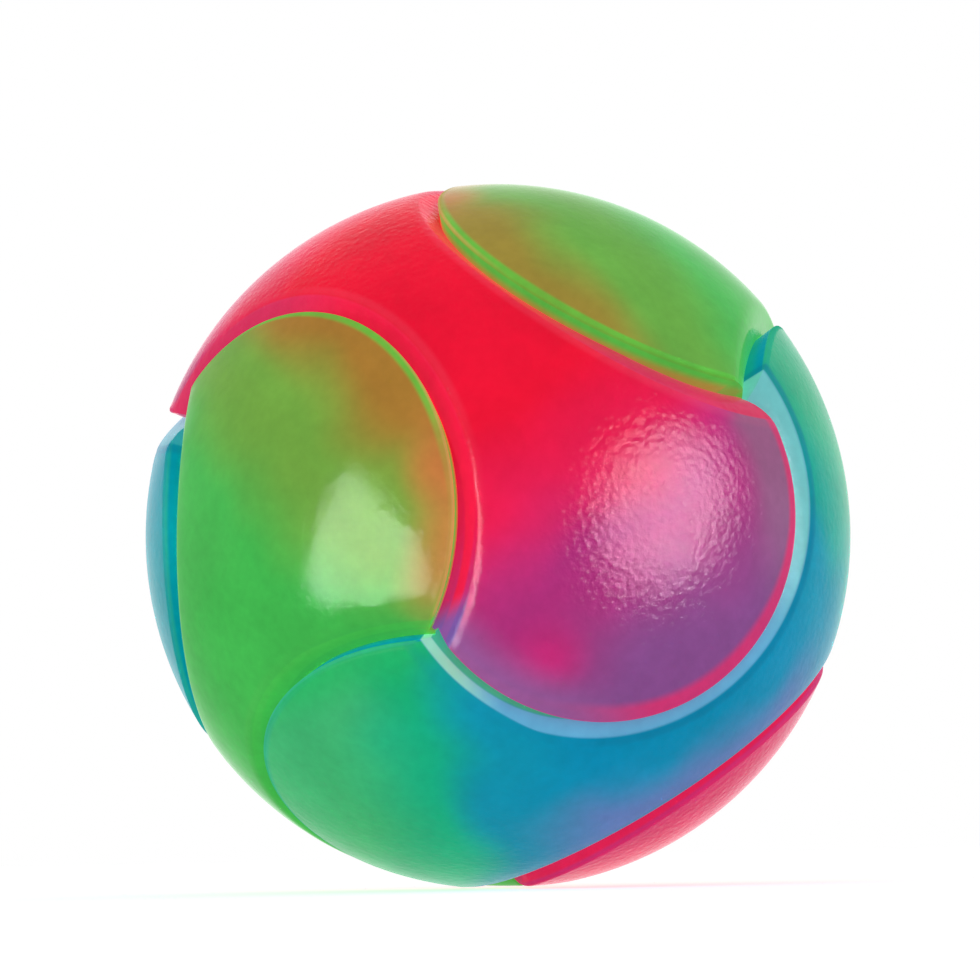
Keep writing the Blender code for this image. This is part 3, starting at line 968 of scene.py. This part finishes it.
    @staticmethod
    def pebble_grain() -> Effect:
        """A fine moulded pebble grain.

        Returns:
            The group: Height for a bump, and Gloss, a mask of the smoother spots.
        """
        kind = SocketKind.VALUE
        effect = Effect("pebble_grain", {"Grains": kind}, {"Height": kind, "Gloss": kind})
        graph = effect.graph
        place = graph.add("TexCoord").outputs["Object"]
        cells = graph.add("TexVoronoi", feature="SMOOTH_F1")
        graph.feed(cells.inputs["Vector"], place)
        graph.feed(cells.inputs["Scale"], effect.inputs["Grains"])
        pebbles = graph.math("SUBTRACT", 1.0, cells.outputs["Distance"])
        fine = graph.noise(place, graph.math("MULTIPLY", effect.inputs["Grains"], 1.7), 2.0)
        height = graph.math("ADD", graph.math("MULTIPLY", pebbles, 0.6), graph.math("MULTIPLY", fine, 0.4))
        graph.feed(effect.outputs["Height"], height)
        graph.feed(effect.outputs["Gloss"], graph.noise(place, 240.0, 3.0))
        return effect

    @staticmethod
    def drawn_lines() -> Effect:
        """Fine lines along one way, as on drawn, turned or plated metal.

        Returns:
            The group: Height for a bump, and Wear, a mask of dull spots.
        """
        kind = SocketKind.VALUE
        effect = Effect("drawn_lines", {"Lines": kind}, {"Height": kind, "Wear": kind})
        graph = effect.graph
        place = graph.add("TexCoord").outputs["Object"]
        stretched = graph.vector("MULTIPLY", place, (0.15, 0.15, 1.0))
        graph.feed(effect.outputs["Height"], graph.noise(stretched, effect.inputs["Lines"], 3.0))
        graph.feed(effect.outputs["Wear"], graph.noise(place, 420.0, 4.0))
        return effect

    @staticmethod
    def cloudy_depth() -> Effect:
        """Soft clouds inside a milky or clear plastic.

        Returns:
            The group: Cloud, a mask from 0 to 1.
        """
        kind = SocketKind.VALUE
        effect = Effect("cloudy_depth", {"Clouds": kind}, {"Cloud": kind})
        graph = effect.graph
        place = graph.add("TexCoord").outputs["Object"]
        cloud = graph.noise(place, effect.inputs["Clouds"], 3.0)
        graph.feed(effect.outputs["Cloud"], graph.step(cloud, 0.3, 0.7))
        return effect


def new_material(name: str) -> tuple[bpy.types.Material, Graph, bpy.types.Node]:
    """A material with its Principled shader.

    Args:
        name: The material's name.

    Returns:
        The material, its nodes and the shader.
    """
    material = bpy.data.materials.new(name)
    material.use_nodes = True
    return material, Graph(material.node_tree), material.node_tree.nodes["Principled BSDF"]


def bump(graph: Graph, shader: bpy.types.Node, height: Socket, depth: float, strength: float) -> None:
    """Raise a shader's surface by a height.

    Args:
        graph: The material's nodes.
        shader: The Principled shader.
        height: The height, from 0 to 1.
        depth: What a height of 1 stands for, in metres.
        strength: The share of the bump that shows.
    """
    node = graph.add("Bump")
    node.inputs["Strength"].default_value = strength
    node.inputs["Distance"].default_value = depth
    graph.feed(node.inputs["Height"], height)
    graph.feed(shader.inputs["Normal"], node.outputs["Normal"])


@dataclass(frozen=True)
class Tint:
    """A colour that is laid over one zone of a panel."""

    zone: Zone
    color: Color
    share: float = 1.0


@dataclass(frozen=True)
class RubberFinish:
    """Soft see-through rubber in one colour, over panels of the next colour, with a painted glow in its own
    colours.
    """

    slot: str
    own: Color
    tints: tuple[Tint, ...]
    lap_span: tuple[float, float]
    far_span: tuple[float, float]
    spot_place: tuple[float, float, float]
    spot_size: float
    rim_width: float
    offset: float
    shift: float = 0.0
    # painted glow: each panel gives off light in its own painted colours, which evens out its shading
    glow: float = 0.50
    index: float = 1.45
    mirror: float = 0.045
    roughness: tuple[float, float] = (0.16, 0.26)
    edge_dulling: float = 0.35
    grains: float = 1500.0
    grain_depth: float = 0.00010
    grain_strength: float = 0.5

    def material(self, effects: SharedEffects) -> bpy.types.Material:
        """Make the material.

        Args:
            effects: The shared groups of nodes.

        Returns:
            The material.
        """
        material, graph, shader = new_material(self.slot)
        zones = effects.zones.place(
            graph,
            Lap_Start=self.lap_span[0],
            Lap_End=self.lap_span[1],
            Far_Start=self.far_span[0],
            Far_End=self.far_span[1],
            Rim_Width=self.rim_width,
            Spot_Size=self.spot_size,
            Spot_Place=self.spot_place,
            Shift=self.shift,
            Offset=self.offset,
        )
        layers: dict[str, Input] = {}
        for tint in self.tints:
            label = tint.zone.value
            layers |= {label: tint.color, f"{label} Share": tint.share, f"{label} Mask": zones[label]}
        tinted = effects.tint.place(graph, Own=self.own, Offset=self.offset, **layers)
        grain = effects.grain.place(graph, Grains=self.grains)
        graph.feed(shader.inputs["Base Color"], tinted["Color"])
        # painted glow: the emission takes the panel's painted colour
        graph.feed(shader.inputs["Emission Color"], tinted["Color"])
        gloss = graph.stretch(grain["Gloss"], *self.roughness)
        dull = graph.product(zones["Matt"], self.edge_dulling)
        graph.feed(shader.inputs["Roughness"], graph.math("ADD", gloss, dull))
        shader.inputs["Emission Strength"].default_value = self.glow
        shader.inputs["IOR"].default_value = self.index
        shader.inputs["Specular IOR Level"].default_value = self.mirror
        bump(graph, shader, grain["Height"], self.grain_depth, self.grain_strength)
        return material


@dataclass(frozen=True)
class MetalFinish:
    """Plain metal with fine drawn lines and dull spots."""

    slot: str
    color: Color
    worn: Color
    roughness: tuple[float, float]
    lines: float = 9000.0
    line_depth: float = 0.00001

    def material(self, effects: SharedEffects) -> bpy.types.Material:
        """Make the material.

        Args:
            effects: The shared groups of nodes.

        Returns:
            The material.
        """
        material, graph, shader = new_material(self.slot)
        marks = effects.lines.place(graph, Lines=self.lines)
        graph.feed(shader.inputs["Base Color"], graph.mix(marks["Wear"], self.color, self.worn))
        graph.feed(shader.inputs["Roughness"], graph.stretch(marks["Wear"], *self.roughness))
        shader.inputs["Metallic"].default_value = 1.0
        bump(graph, shader, marks["Height"], self.line_depth, 0.3)
        return material


@dataclass(frozen=True)
class ResinFinish:
    """Moulded plastic, resin or rubber with soft clouds in its depth."""

    slot: str
    color: Color
    cloud: Color
    roughness: tuple[float, float]
    alpha: float = 1.0
    clouds: float = 160.0
    grains: float = 5200.0
    grain_depth: float = 0.00001

    def material(self, effects: SharedEffects) -> bpy.types.Material:
        """Make the material.

        Args:
            effects: The shared groups of nodes.

        Returns:
            The material.
        """
        material, graph, shader = new_material(self.slot)
        depth = effects.clouds.place(graph, Clouds=self.clouds)
        grain = effects.grain.place(graph, Grains=self.grains)
        graph.feed(shader.inputs["Base Color"], graph.mix(depth["Cloud"], self.color, self.cloud))
        graph.feed(shader.inputs["Roughness"], graph.stretch(grain["Gloss"], *self.roughness))
        shader.inputs["Alpha"].default_value = self.alpha
        bump(graph, shader, grain["Height"], self.grain_depth, 0.25)
        return material


class Hue(Enum):
    """The colours of the panels, with the finish of each."""

    RED = RubberFinish(
        slot="red_rubber",
        own=tone(239, 18, 52),
        tints=(
            Tint(Zone.VERGE, tone(237, 31, 88)),
            Tint(Zone.NEAR, tone(184, 50, 128)),
            Tint(Zone.FAR, tone(138, 78, 144)),
            Tint(Zone.SPOT, tone(208, 38, 118), 0.75),
            # painted reflection: a greyish mauve veil on the red lobes
            Tint(Zone.VEIL, tone(146, 104, 138), 0.75),
            Tint(Zone.RIM, tone(226, 48, 110), 0.9),
            Tint(Zone.FLANK, tone(150, 94, 158), 0.9),
            # the walls: painted lighter than the own colour, as painted light
            Tint(Zone.WALL, tone(255, 36, 84)),
            Tint(Zone.FOOT, tone(220, 60, 118), 0.4),
            # painted highlight along the lobes' rim
            Tint(Zone.EDGE, tone(226, 70, 126), 0.3),
            # painted light: the bevel beside the lobes painted lighter against their shade, paler at its wide
            # ends
            Tint(Zone.BAND, tone(255, 30, 74), 0.9),
            Tint(Zone.BAND_WIDE, tone(206, 56, 106), 0.65),
            Tint(Zone.TIP, tone(118, 92, 176), 0.85),
            # painted highlight just outside the bevel's crest
            Tint(Zone.CREST, tone(250, 120, 150), 0.08),
        ),
        lap_span=(-0.0060, 0.0024),
        far_span=(0.003, 0.015),
        spot_place=(0.79, -0.37, 0.48),
        spot_size=0.0050,
        rim_width=0.0019,
        roughness=(0.09, 0.16),
        grain_strength=0.9,
        offset=4.8,
    )
    GREEN = RubberFinish(
        slot="green_rubber",
        own=tone(66, 186, 80),
        tints=(
            Tint(Zone.SHADE, tone(74, 186, 84)),
            Tint(Zone.NEAR, tone(116, 170, 67)),
            Tint(Zone.FAR, tone(170, 122, 50)),
            Tint(Zone.SPOT, tone(214, 112, 62), 0.6),
            Tint(Zone.RIM, tone(92, 194, 68), 0.9),
            Tint(Zone.FLANK, tone(206, 124, 68), 0.8),
            # the walls: painted lighter than the own colour, as painted light
            Tint(Zone.WALL, tone(84, 204, 78)),
            Tint(Zone.FOOT, tone(178, 142, 68), 0.7),
            # painted highlight along the lobes' rim
            Tint(Zone.EDGE, tone(216, 166, 100), 0.6),
            # painted light: the bevel around the lobes painted lighter against their shade
            Tint(Zone.BAND, tone(76, 196, 80), 0.5),
            # painted highlight just outside the bevel's crest
            Tint(Zone.CREST, tone(120, 200, 100), 0.1),
        ),
        lap_span=(-0.003, 0.007),
        far_span=(0.008, 0.0165),
        spot_place=(0.87, -0.37, 0.33),
        spot_size=0.0045,
        rim_width=0.0008,
        roughness=(0.08, 0.16),
        grain_strength=0.25,
        offset=4.1,
    )
    BLUE = RubberFinish(
        slot="blue_rubber",
        own=tone(6, 143, 182),
        tints=(
            Tint(Zone.SHADE, tone(98, 128, 186)),
            Tint(Zone.VERGE, tone(15, 150, 178)),
            Tint(Zone.NEAR, tone(24, 181, 134)),
            Tint(Zone.FAR, tone(66, 184, 118)),
            Tint(Zone.SPOT, tone(30, 184, 96), 0.4),
            Tint(Zone.RIM, tone(44, 172, 150), 0.4),
            Tint(Zone.FLANK, tone(34, 182, 98), 0.7),
            Tint(Zone.WALL, tone(2, 146, 180)),
            Tint(Zone.FOOT, tone(20, 156, 142), 0.7),
            # painted highlight along the lobes' rim
            Tint(Zone.EDGE, tone(80, 188, 184), 0.25),
            # painted light: pale bevels beside the red lobes, with the highlight along them painted in
            Tint(Zone.BAND, tone(100, 180, 220)),
            Tint(Zone.BAND_END, tone(150, 222, 196)),
            Tint(Zone.BAND_WIDE, tone(114, 200, 202)),
            Tint(Zone.STRIP, tone(70, 186, 146)),
            # painted shade: a dark line just outside the bevel's crest
            Tint(Zone.CREST, tone(16, 122, 160), 0.55),
        ),
        lap_span=(-0.0042, 0.003),
        far_span=(0.002, 0.012),
        spot_place=(0.69, -0.47, 0.55),
        spot_size=0.0060,
        rim_width=0.0008,
        edge_dulling=0.75,
        offset=2.6,
        shift=0.007,
    )


@dataclass
class PanelSet:
    """The six soft panels, lapped around the core."""

    shape: PanelShape
    effects: SharedEffects
    front_turn: float = math.pi
    lap_depths: tuple[tuple[str, float, float], ...] = (
        ("red_upper_panel", 1.0, 0.5),
        ("red_lower_panel", 0.12, 0.8),
        ("green_upper_panel", 0.75, 1.0),
        ("blue_upper_panel", 0.1, 0.9),
        ("blue_lower_panel", 1.0, 0.6),
    )
    # how much of the painted light on the pockets' bevels shows on each side of a panel
    lit_band_depths: tuple[tuple[str, float, float], ...] = (("blue_upper_panel", 0.15, 1.0),)

    def axes(self) -> dict[Hue, Vector]:
        """The crossed axes of the three colours, with a corner of their cube on top."""
        corner = Vector((1.0, -1.0, -1.0)).normalized()
        stand = corner.rotation_difference(Vector((0.0, 0.0, 1.0))).to_matrix()
        turn = Matrix.Rotation(self.front_turn, 3, "Z") @ stand
        units = ((1.0, 0.0, 0.0), (0.0, 1.0, 0.0), (0.0, 0.0, 1.0))
        return {hue: turn @ Vector(unit) for hue, unit in zip(Hue, units)}

    def build(self) -> list[bpy.types.Object]:
        """Build, dress and hang all six panels.

        Returns:
            The panels.
        """
        base = self.shape.mesh("soft_panel")
        axes = self.axes()
        over = {Hue.RED: Hue.BLUE, Hue.GREEN: Hue.RED, Hue.BLUE: Hue.GREEN}
        pieces = []
        for hue in Hue:
            material = hue.value.material(self.effects)
            for level in ("upper", "lower"):
                upward = axes[hue].z > 0.0
                side = 1.0 if upward == (level == "upper") else -1.0
                name = f"{hue.name.lower()}_{level}_panel"
                piece = self.hang(base, name, axes[hue] * side, axes[over[hue]])
                piece.data.materials.append(material)
                pieces.append(piece)
        bpy.data.meshes.remove(base)
        return pieces

    def hang(self, base: bpy.types.Mesh, node: str, outward: Vector, along: Vector) -> bpy.types.Object:
        """Place one panel on its side of the ball.

        Args:
            base: The panel's mesh in its own frame.
            node: The solid that it stands for.
            outward: The panel's side.
            along: The way that its lobes point.

        Returns:
            The panel.
        """
        mesh = base.copy()
        mesh.name = f"{node}_skin"
        turn = Matrix((along, outward.cross(along), outward)).transposed()
        for name, depths, axis in ((LAP_DEPTH, self.lap_depths, 0), (LIT_BAND_DEPTH, self.lit_band_depths, 1)):
            ahead, behind = {panel: shares for panel, *shares in depths}.get(node, (1.0, 1.0))
            shares = [ahead if vert.co[axis] > 0.0 else behind for vert in mesh.vertices]
            mesh.attributes.new(name, "FLOAT", "POINT").data.foreach_set("value", shares)
        mesh.transform(turn.to_4x4())
        piece = bpy.data.objects.new(f"{node}_skin", mesh)
        bpy.context.scene.collection.objects.link(piece)
        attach(piece, "ball")
        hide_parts(node)
        LOG.info("%s: %d faces", piece.name, len(mesh.polygons))
        return piece


@dataclass
class InnerWorks:
    """The sealed core and what it holds, carried over from the solids and given their finishes."""

    effects: SharedEffects
    finishes: dict[str, MetalFinish | ResinFinish] = field(default_factory=dict)

    def __post_init__(self) -> None:
        """List the finish of each group of pieces."""
        milky = ResinFinish("milky_plastic", (0.80, 0.81, 0.82), (0.88, 0.89, 0.90), (0.22, 0.34), 0.6)
        ring = ResinFinish("ring_rubber", (0.022, 0.022, 0.024), (0.04, 0.04, 0.042), (0.5, 0.7))
        cell = MetalFinish("cell_steel", (0.64, 0.64, 0.62), (0.54, 0.54, 0.52), (0.2, 0.36))
        spring = MetalFinish("spring_steel", (0.57, 0.57, 0.56), (0.48, 0.48, 0.47), (0.22, 0.38))
        brass = MetalFinish("contact_brass", (0.74, 0.56, 0.26), (0.62, 0.45, 0.2), (0.2, 0.38))
        screw = MetalFinish("screw_steel", (0.52, 0.52, 0.52), (0.42, 0.42, 0.42), (0.26, 0.4))
        pin = MetalFinish("pin_brass", (0.74, 0.56, 0.26), (0.62, 0.45, 0.2), (0.2, 0.34))
        coil = MetalFinish("coil_steel", (0.57, 0.57, 0.56), (0.48, 0.48, 0.47), (0.22, 0.38))
        board = ResinFinish("board_laminate", (0.025, 0.15, 0.055), (0.04, 0.19, 0.075), (0.38, 0.5))
        chip = ResinFinish("chip_resin", (0.012, 0.012, 0.013), (0.022, 0.022, 0.024), (0.28, 0.44))
        red = ResinFinish("red_lamp_resin", (0.8, 0.05, 0.04), (0.7, 0.04, 0.035), (0.08, 0.16), 0.75)
        green = ResinFinish("green_lamp_resin", (0.06, 0.6, 0.1), (0.05, 0.5, 0.09), (0.08, 0.16), 0.75)
        blue = ResinFinish("blue_lamp_resin", (0.05, 0.15, 0.8), (0.04, 0.12, 0.7), (0.08, 0.16), 0.75)
        self.finishes = {
            item.slot: item
            for item in (milky, ring, cell, spring, brass, screw, pin, coil, board, chip, red, green, blue)
        }

    def dress(self) -> list[bpy.types.Object]:
        """Give each inner piece the finish of its slot in the record.

        Returns:
            The pieces.
        """
        made: dict[str, bpy.types.Material] = {}
        pieces = []
        for part in frame["record"]["subparts"]:
            slot = part["material_slot"]
            if slot not in self.finishes:
                continue
            if slot not in made:
                made[slot] = self.finishes[slot].material(self.effects)
            piece = frame["nodes"][part["node"]]
            piece.data.materials.clear()
            piece.data.materials.append(made[slot])
            pieces.append(piece)
            LOG.info("%s: %s", piece.name, slot)
        return pieces


@dataclass
class Studio:
    """A pale floor, soft lights, a white surround and the camera."""

    ball_radius: float
    view_azimuth: float = math.radians(-4.14)
    view_elevation: float = math.radians(-4.90)
    view_roll: float = math.radians(1.17)
    view_distance: float = 10.6
    picture_size: float = 980.0
    picture_center: tuple[float, float] = (498.0, 536.5)
    picture_radius: float = 352.5
    fill: float = 0.565
    fill_top: float = 0.62
    floor_glow: float = 0.68
    lamp_distance: float = 0.62
    lamp_turns: tuple[float, ...] = (0.0, math.pi / 2.0, math.pi, -math.pi / 2.0)
    right_glare_center: tuple[float, float] = (662.0, 511.0)
    right_glare_reach: tuple[float, float] = (78.0, 104.0)
    right_glare_tilt: float = math.radians(20.0)
    left_glare: tuple[tuple[float, float], ...] = (
        (354, 466),
        (397, 512),
        (420, 538),
        (431, 575),
        (430, 604),
        (403, 612),
        (351, 615),
        (316, 607),
        (303, 586),
        (312, 542),
        (325, 498),
        (340, 474),
    )

    def right_glare(self) -> list[Vector]:
        """The round outline of the right lamp's mirror image, in pixels of the picture."""
        count = 24
        wide, high = self.right_glare_reach
        tilt = Matrix.Rotation(self.right_glare_tilt, 2)
        turns = [math.tau * step / count for step in range(count)]
        ring = [tilt @ Vector((wide * math.cos(turn), high * math.sin(turn))) for turn in turns]
        return [Vector(self.right_glare_center) + spot for spot in ring]

    def camera_axes(self) -> Matrix:
        """The camera's right, up and back as the columns of a matrix."""
        level = math.cos(self.view_elevation)
        back = Vector(
            (
                math.sin(self.view_azimuth) * level,
                -math.cos(self.view_azimuth) * level,
                math.sin(self.view_elevation),
            )
        )
        upright = (-back).to_track_quat("-Z", "Y").to_matrix()
        return upright @ Matrix.Rotation(-self.view_roll, 3, "Z")

    def camera(self) -> bpy.types.Object:
        """Make the camera that sees the ball as the photograph does."""
        data = bpy.data.cameras.new("camera")
        focal = self.picture_radius * math.sqrt(self.view_distance**2 - 1.0)
        data.sensor_width = 36.0
        data.lens = focal / self.picture_size * data.sensor_width
        middle = self.picture_size / 2.0
        data.shift_x = (middle - self.picture_center[0]) / self.picture_size
        data.shift_y = (self.picture_center[1] - middle) / self.picture_size
        data.clip_start = 0.01
        item = bpy.data.objects.new("camera", data)
        bpy.context.scene.collection.objects.link(item)
        axes = self.camera_axes()
        place = axes.col[2] * self.view_distance * self.ball_radius
        item.matrix_world = Matrix.Translation(place) @ axes.to_4x4()
        bpy.context.scene.camera = item
        return item

    def glance(self, spot: Sequence[float]) -> tuple[Vector, Vector]:
        """Where the line of sight through a place in the picture meets the ball, and leaves it mirrored.

        Args:
            spot: The place in the picture, in pixels.

        Returns:
            The point on the ball and the mirrored direction.
        """
        axes = self.camera_axes()
        eye = axes.col[2] * self.view_distance * self.ball_radius
        focal = self.picture_radius * math.sqrt(self.view_distance**2 - 1.0)
        right, down = (part - middle for part, middle in zip(spot, self.picture_center))
        ray = (axes @ Vector((right, -down, -focal))).normalized()
        nearest = -eye.dot(ray)
        gap = self.ball_radius**2 - (eye + ray * nearest).length_squared
        touch = eye + ray * (nearest - math.sqrt(max(gap, 0.0)))
        return touch, ray.reflect(touch.normalized())

    def soft_box(
        self,
        name: str,
        glare: Sequence[Sequence[float]],
        radiance: float,
        fade: float,
        beam: tuple[float, float],
        turn: float,
    ) -> bpy.types.Object:
        """Hang a lit sheet with a grid, so that it only lights the place of its own mirror image.

        Args:
            name: The sheet's name.
            glare: The outline of the mirror image, in pixels of the picture.
            radiance: How bright the sheet is.
            fade: The share of the sheet, from its edge inwards, that fades out.
            beam: How far around its mirror image a point's light is full, and where it ends.
            turn: How far around the ball the sheet is moved from where the picture has it.

        Returns:
            The sheet, which only gloss shows.
        """
        middle = Vector([sum(part) / len(glare) for part in zip(*glare)])
        aim, facing = self.glance(middle)
        around = Matrix.Rotation(turn, 3, "Z")
        bm = bmesh.new()
        glow = bm.verts.layers.float.new(SHEET_GLOW)
        aims = bm.verts.layers.float_vector.new(SHEET_AIM)
        rings = []
        for share, light in ((1.0 - fade, 1.0), (1.0 - fade / 2.0, 0.5), (1.0, 0.0)):
            ring = []
            for spot in glare:
                touch, way = self.glance(middle.lerp(Vector(spot), share))
                distance = (self.lamp_distance - (touch - aim).dot(facing)) / way.dot(facing)
                ring.append(bm.verts.new(around @ (touch + way * distance)))
                ring[-1][glow] = light
                ring[-1][aims] = around @ touch
            rings.append(ring)
        bm.faces.new(rings[0])
        for inner, outer in zip(rings, rings[1:]):
            for index in range(len(inner)):
                bm.faces.new((inner[index - 1], inner[index], outer[index], outer[index - 1]))
        item = self.stage_piece(name, bm)
        item.light_linking.blocker_collection = self.blockers()
        graph, strength = self.gloss_only(item)
        place = graph.add("NewGeometry").outputs["Position"]
        grid = graph.add("LayerWeight")
        straight = graph.vector("SUBTRACT", graph.attribute(SHEET_AIM, "Vector"), place)
        graph.feed(grid.inputs["Normal"], graph.vector("NORMALIZE", straight))
        limits = (1.0 - math.cos(math.atan2(reach, self.lamp_distance)) for reach in beam)
        lit = graph.below(grid.outputs["Facing"], *limits)
        graph.feed(strength, graph.product(graph.attribute(SHEET_GLOW, "Fac"), lit, radiance))
        return item

    @staticmethod
    def stage_piece(name: str, bm: bmesh.types.BMesh) -> bpy.types.Object:
        """Turn a mesh into a piece of the studio.

        Args:
            name: The piece's name.
            bm: Its mesh, which is used up.

        Returns:
            The piece.
        """
        mesh = bpy.data.meshes.new(name)
        bm.to_mesh(mesh)
        bm.free()
        item = bpy.data.objects.new(name, mesh)
        bpy.context.scene.collection.objects.link(item)
        return item

    @staticmethod
    def gloss_only(item: bpy.types.Object) -> tuple[Graph, Socket]:
        """Let a clear sheet of the studio glow, seen by nothing but gloss.

        Args:
            item: The piece.

        Returns:
            Its nodes and the strength of its glow.
        """
        item.visible_camera = False
        item.visible_diffuse = False
        item.visible_transmission = False
        item.visible_shadow = False
        material = bpy.data.materials.new(item.name)
        material.use_nodes = True
        material.node_tree.nodes.clear()
        graph = Graph(material.node_tree)
        glow = graph.add("Emission")
        both = graph.add("AddShader")
        graph.feed(both.inputs[0], graph.add("BsdfTransparent").outputs[0])
        graph.feed(both.inputs[1], glow.outputs[0])
        graph.feed(graph.add("OutputMaterial").inputs["Surface"], both.outputs[0])
        item.data.materials.append(material)
        return graph, glow.inputs["Strength"]

    @staticmethod
    def blockers() -> bpy.types.Collection:
        """The pieces that keep a soft box's light off: the panels, but not the floor."""
        group = bpy.data.collections.get("panels")
        if group is None:
            group = bpy.data.collections.new("panels")
            for piece in bpy.context.scene.objects:
                if piece.name.endswith("_skin"):
                    group.objects.link(piece)
        return group

    def key_lamp(self, name: str, way: Sequence[float], size: float, radiance: float) -> None:
        """Hang one wide soft lamp that shades the ball without a glare of its own.

        Args:
            name: The lamp's name.
            way: Where it hangs, in the camera's right, up and back.
            size: Its width and height in metres.
            radiance: How bright its face is.
        """
        data = bpy.data.lights.new(name, "AREA")
        data.size = size
        data.energy = radiance * size * size * math.pi
        item = bpy.data.objects.new(name, data)
        bpy.context.scene.collection.objects.link(item)
        item.location = (self.camera_axes() @ Vector(way)).normalized() * self.lamp_distance
        item.rotation_mode = "QUATERNION"
        item.rotation_quaternion = (-item.location).to_track_quat("-Z", "Y")
        item.visible_glossy = False

    def surround(self) -> None:
        """White where it is seen, and an even fill elsewhere."""
        world = bpy.data.worlds.new("surround")
        world.use_nodes = True
        bpy.context.scene.world = world
        graph = Graph(world.node_tree)
        background = world.node_tree.nodes["Background"]
        background.inputs["Color"].default_value = (1.0, 1.0, 1.0, 1.0)
        height = graph.split(graph.add("TexCoord").outputs["Generated"])[2]
        fill = graph.stretch(graph.step(height, -0.2, 1.0), self.fill, self.fill * self.fill_top)
        seen = self.seen(graph)
        lit = graph.math("MULTIPLY", fill, graph.math("SUBTRACT", 1.0, seen))
        graph.feed(background.inputs["Strength"], graph.math("ADD", lit, seen))

    @staticmethod
    def seen(graph: Graph) -> Socket:
        """1 for rays from the camera, from gloss and through glass, and 0 for the rest."""
        path = graph.add("LightPath").outputs
        gloss = graph.math("MAXIMUM", path["Is Glossy Ray"], path["Is Transmission Ray"])
        return graph.math("MAXIMUM", path["Is Camera Ray"], gloss)

    def floor(self, height: float) -> bpy.types.Object:
        """Lay a pale floor that keeps the ball's shadow.

        Args:
            height: The floor's height.

        Returns:
            The floor.
        """
        bm = bmesh.new()
        bmesh.ops.create_circle(bm, cap_ends=True, segments=96, radius=6.0)
        item = self.stage_piece("floor", bm)
        item.location.z = height
        item.visible_glossy = False
        material = bpy.data.materials.new("pale_floor")
        material.use_nodes = True
        material.node_tree.nodes.clear()
        graph = Graph(material.node_tree)
        plain = graph.add("BsdfDiffuse")
        plain.inputs["Color"].default_value = (0.9, 0.9, 0.9, 1.0)
        glow = graph.add("Emission")
        graph.feed(glow.inputs["Strength"], graph.product(self.seen(graph), self.floor_glow))
        both = graph.add("AddShader")
        graph.feed(both.inputs[0], plain.outputs[0])
        graph.feed(both.inputs[1], glow.outputs[0])
        graph.feed(graph.add("OutputMaterial").inputs["Surface"], both.outputs[0])
        item.data.materials.append(material)
        return item

    def build(self, floor_height: float) -> None:
        """Set up the whole studio.

        Args:
            floor_height: The floor's height.
        """
        bpy.context.scene.view_settings.view_transform = "Standard"
        self.camera()
        self.surround()
        self.floor(floor_height)
        for number, turn in enumerate(self.lamp_turns, 1):
            self.soft_box(f"right_box_{number}", self.right_glare(), 68.0, 0.45, (0.0060, 0.0100), turn)
            self.soft_box(f"left_box_{number}", self.left_glare, 68.0, 0.12, (0.0085, 0.0125), turn)
        self.key_lamp("key_lamp", (0.1, 0.6, 0.8), 0.6, 0.15)


def main() -> None:
    """Build the panels, dress the inner works and set up the studio."""
    logging.basicConfig(level=logging.INFO, format="%(message)s")
    low, high = CAD_BOX
    shape = PanelShape(ball_radius=max(high - low) / 2.0)
    effects = SharedEffects(shape)
    PanelSet(shape, effects).build()
    InnerWorks(effects).dress()
    Studio(shape.ball_radius).build(-shape.ball_radius)


if __name__ == "__main__":
    main()
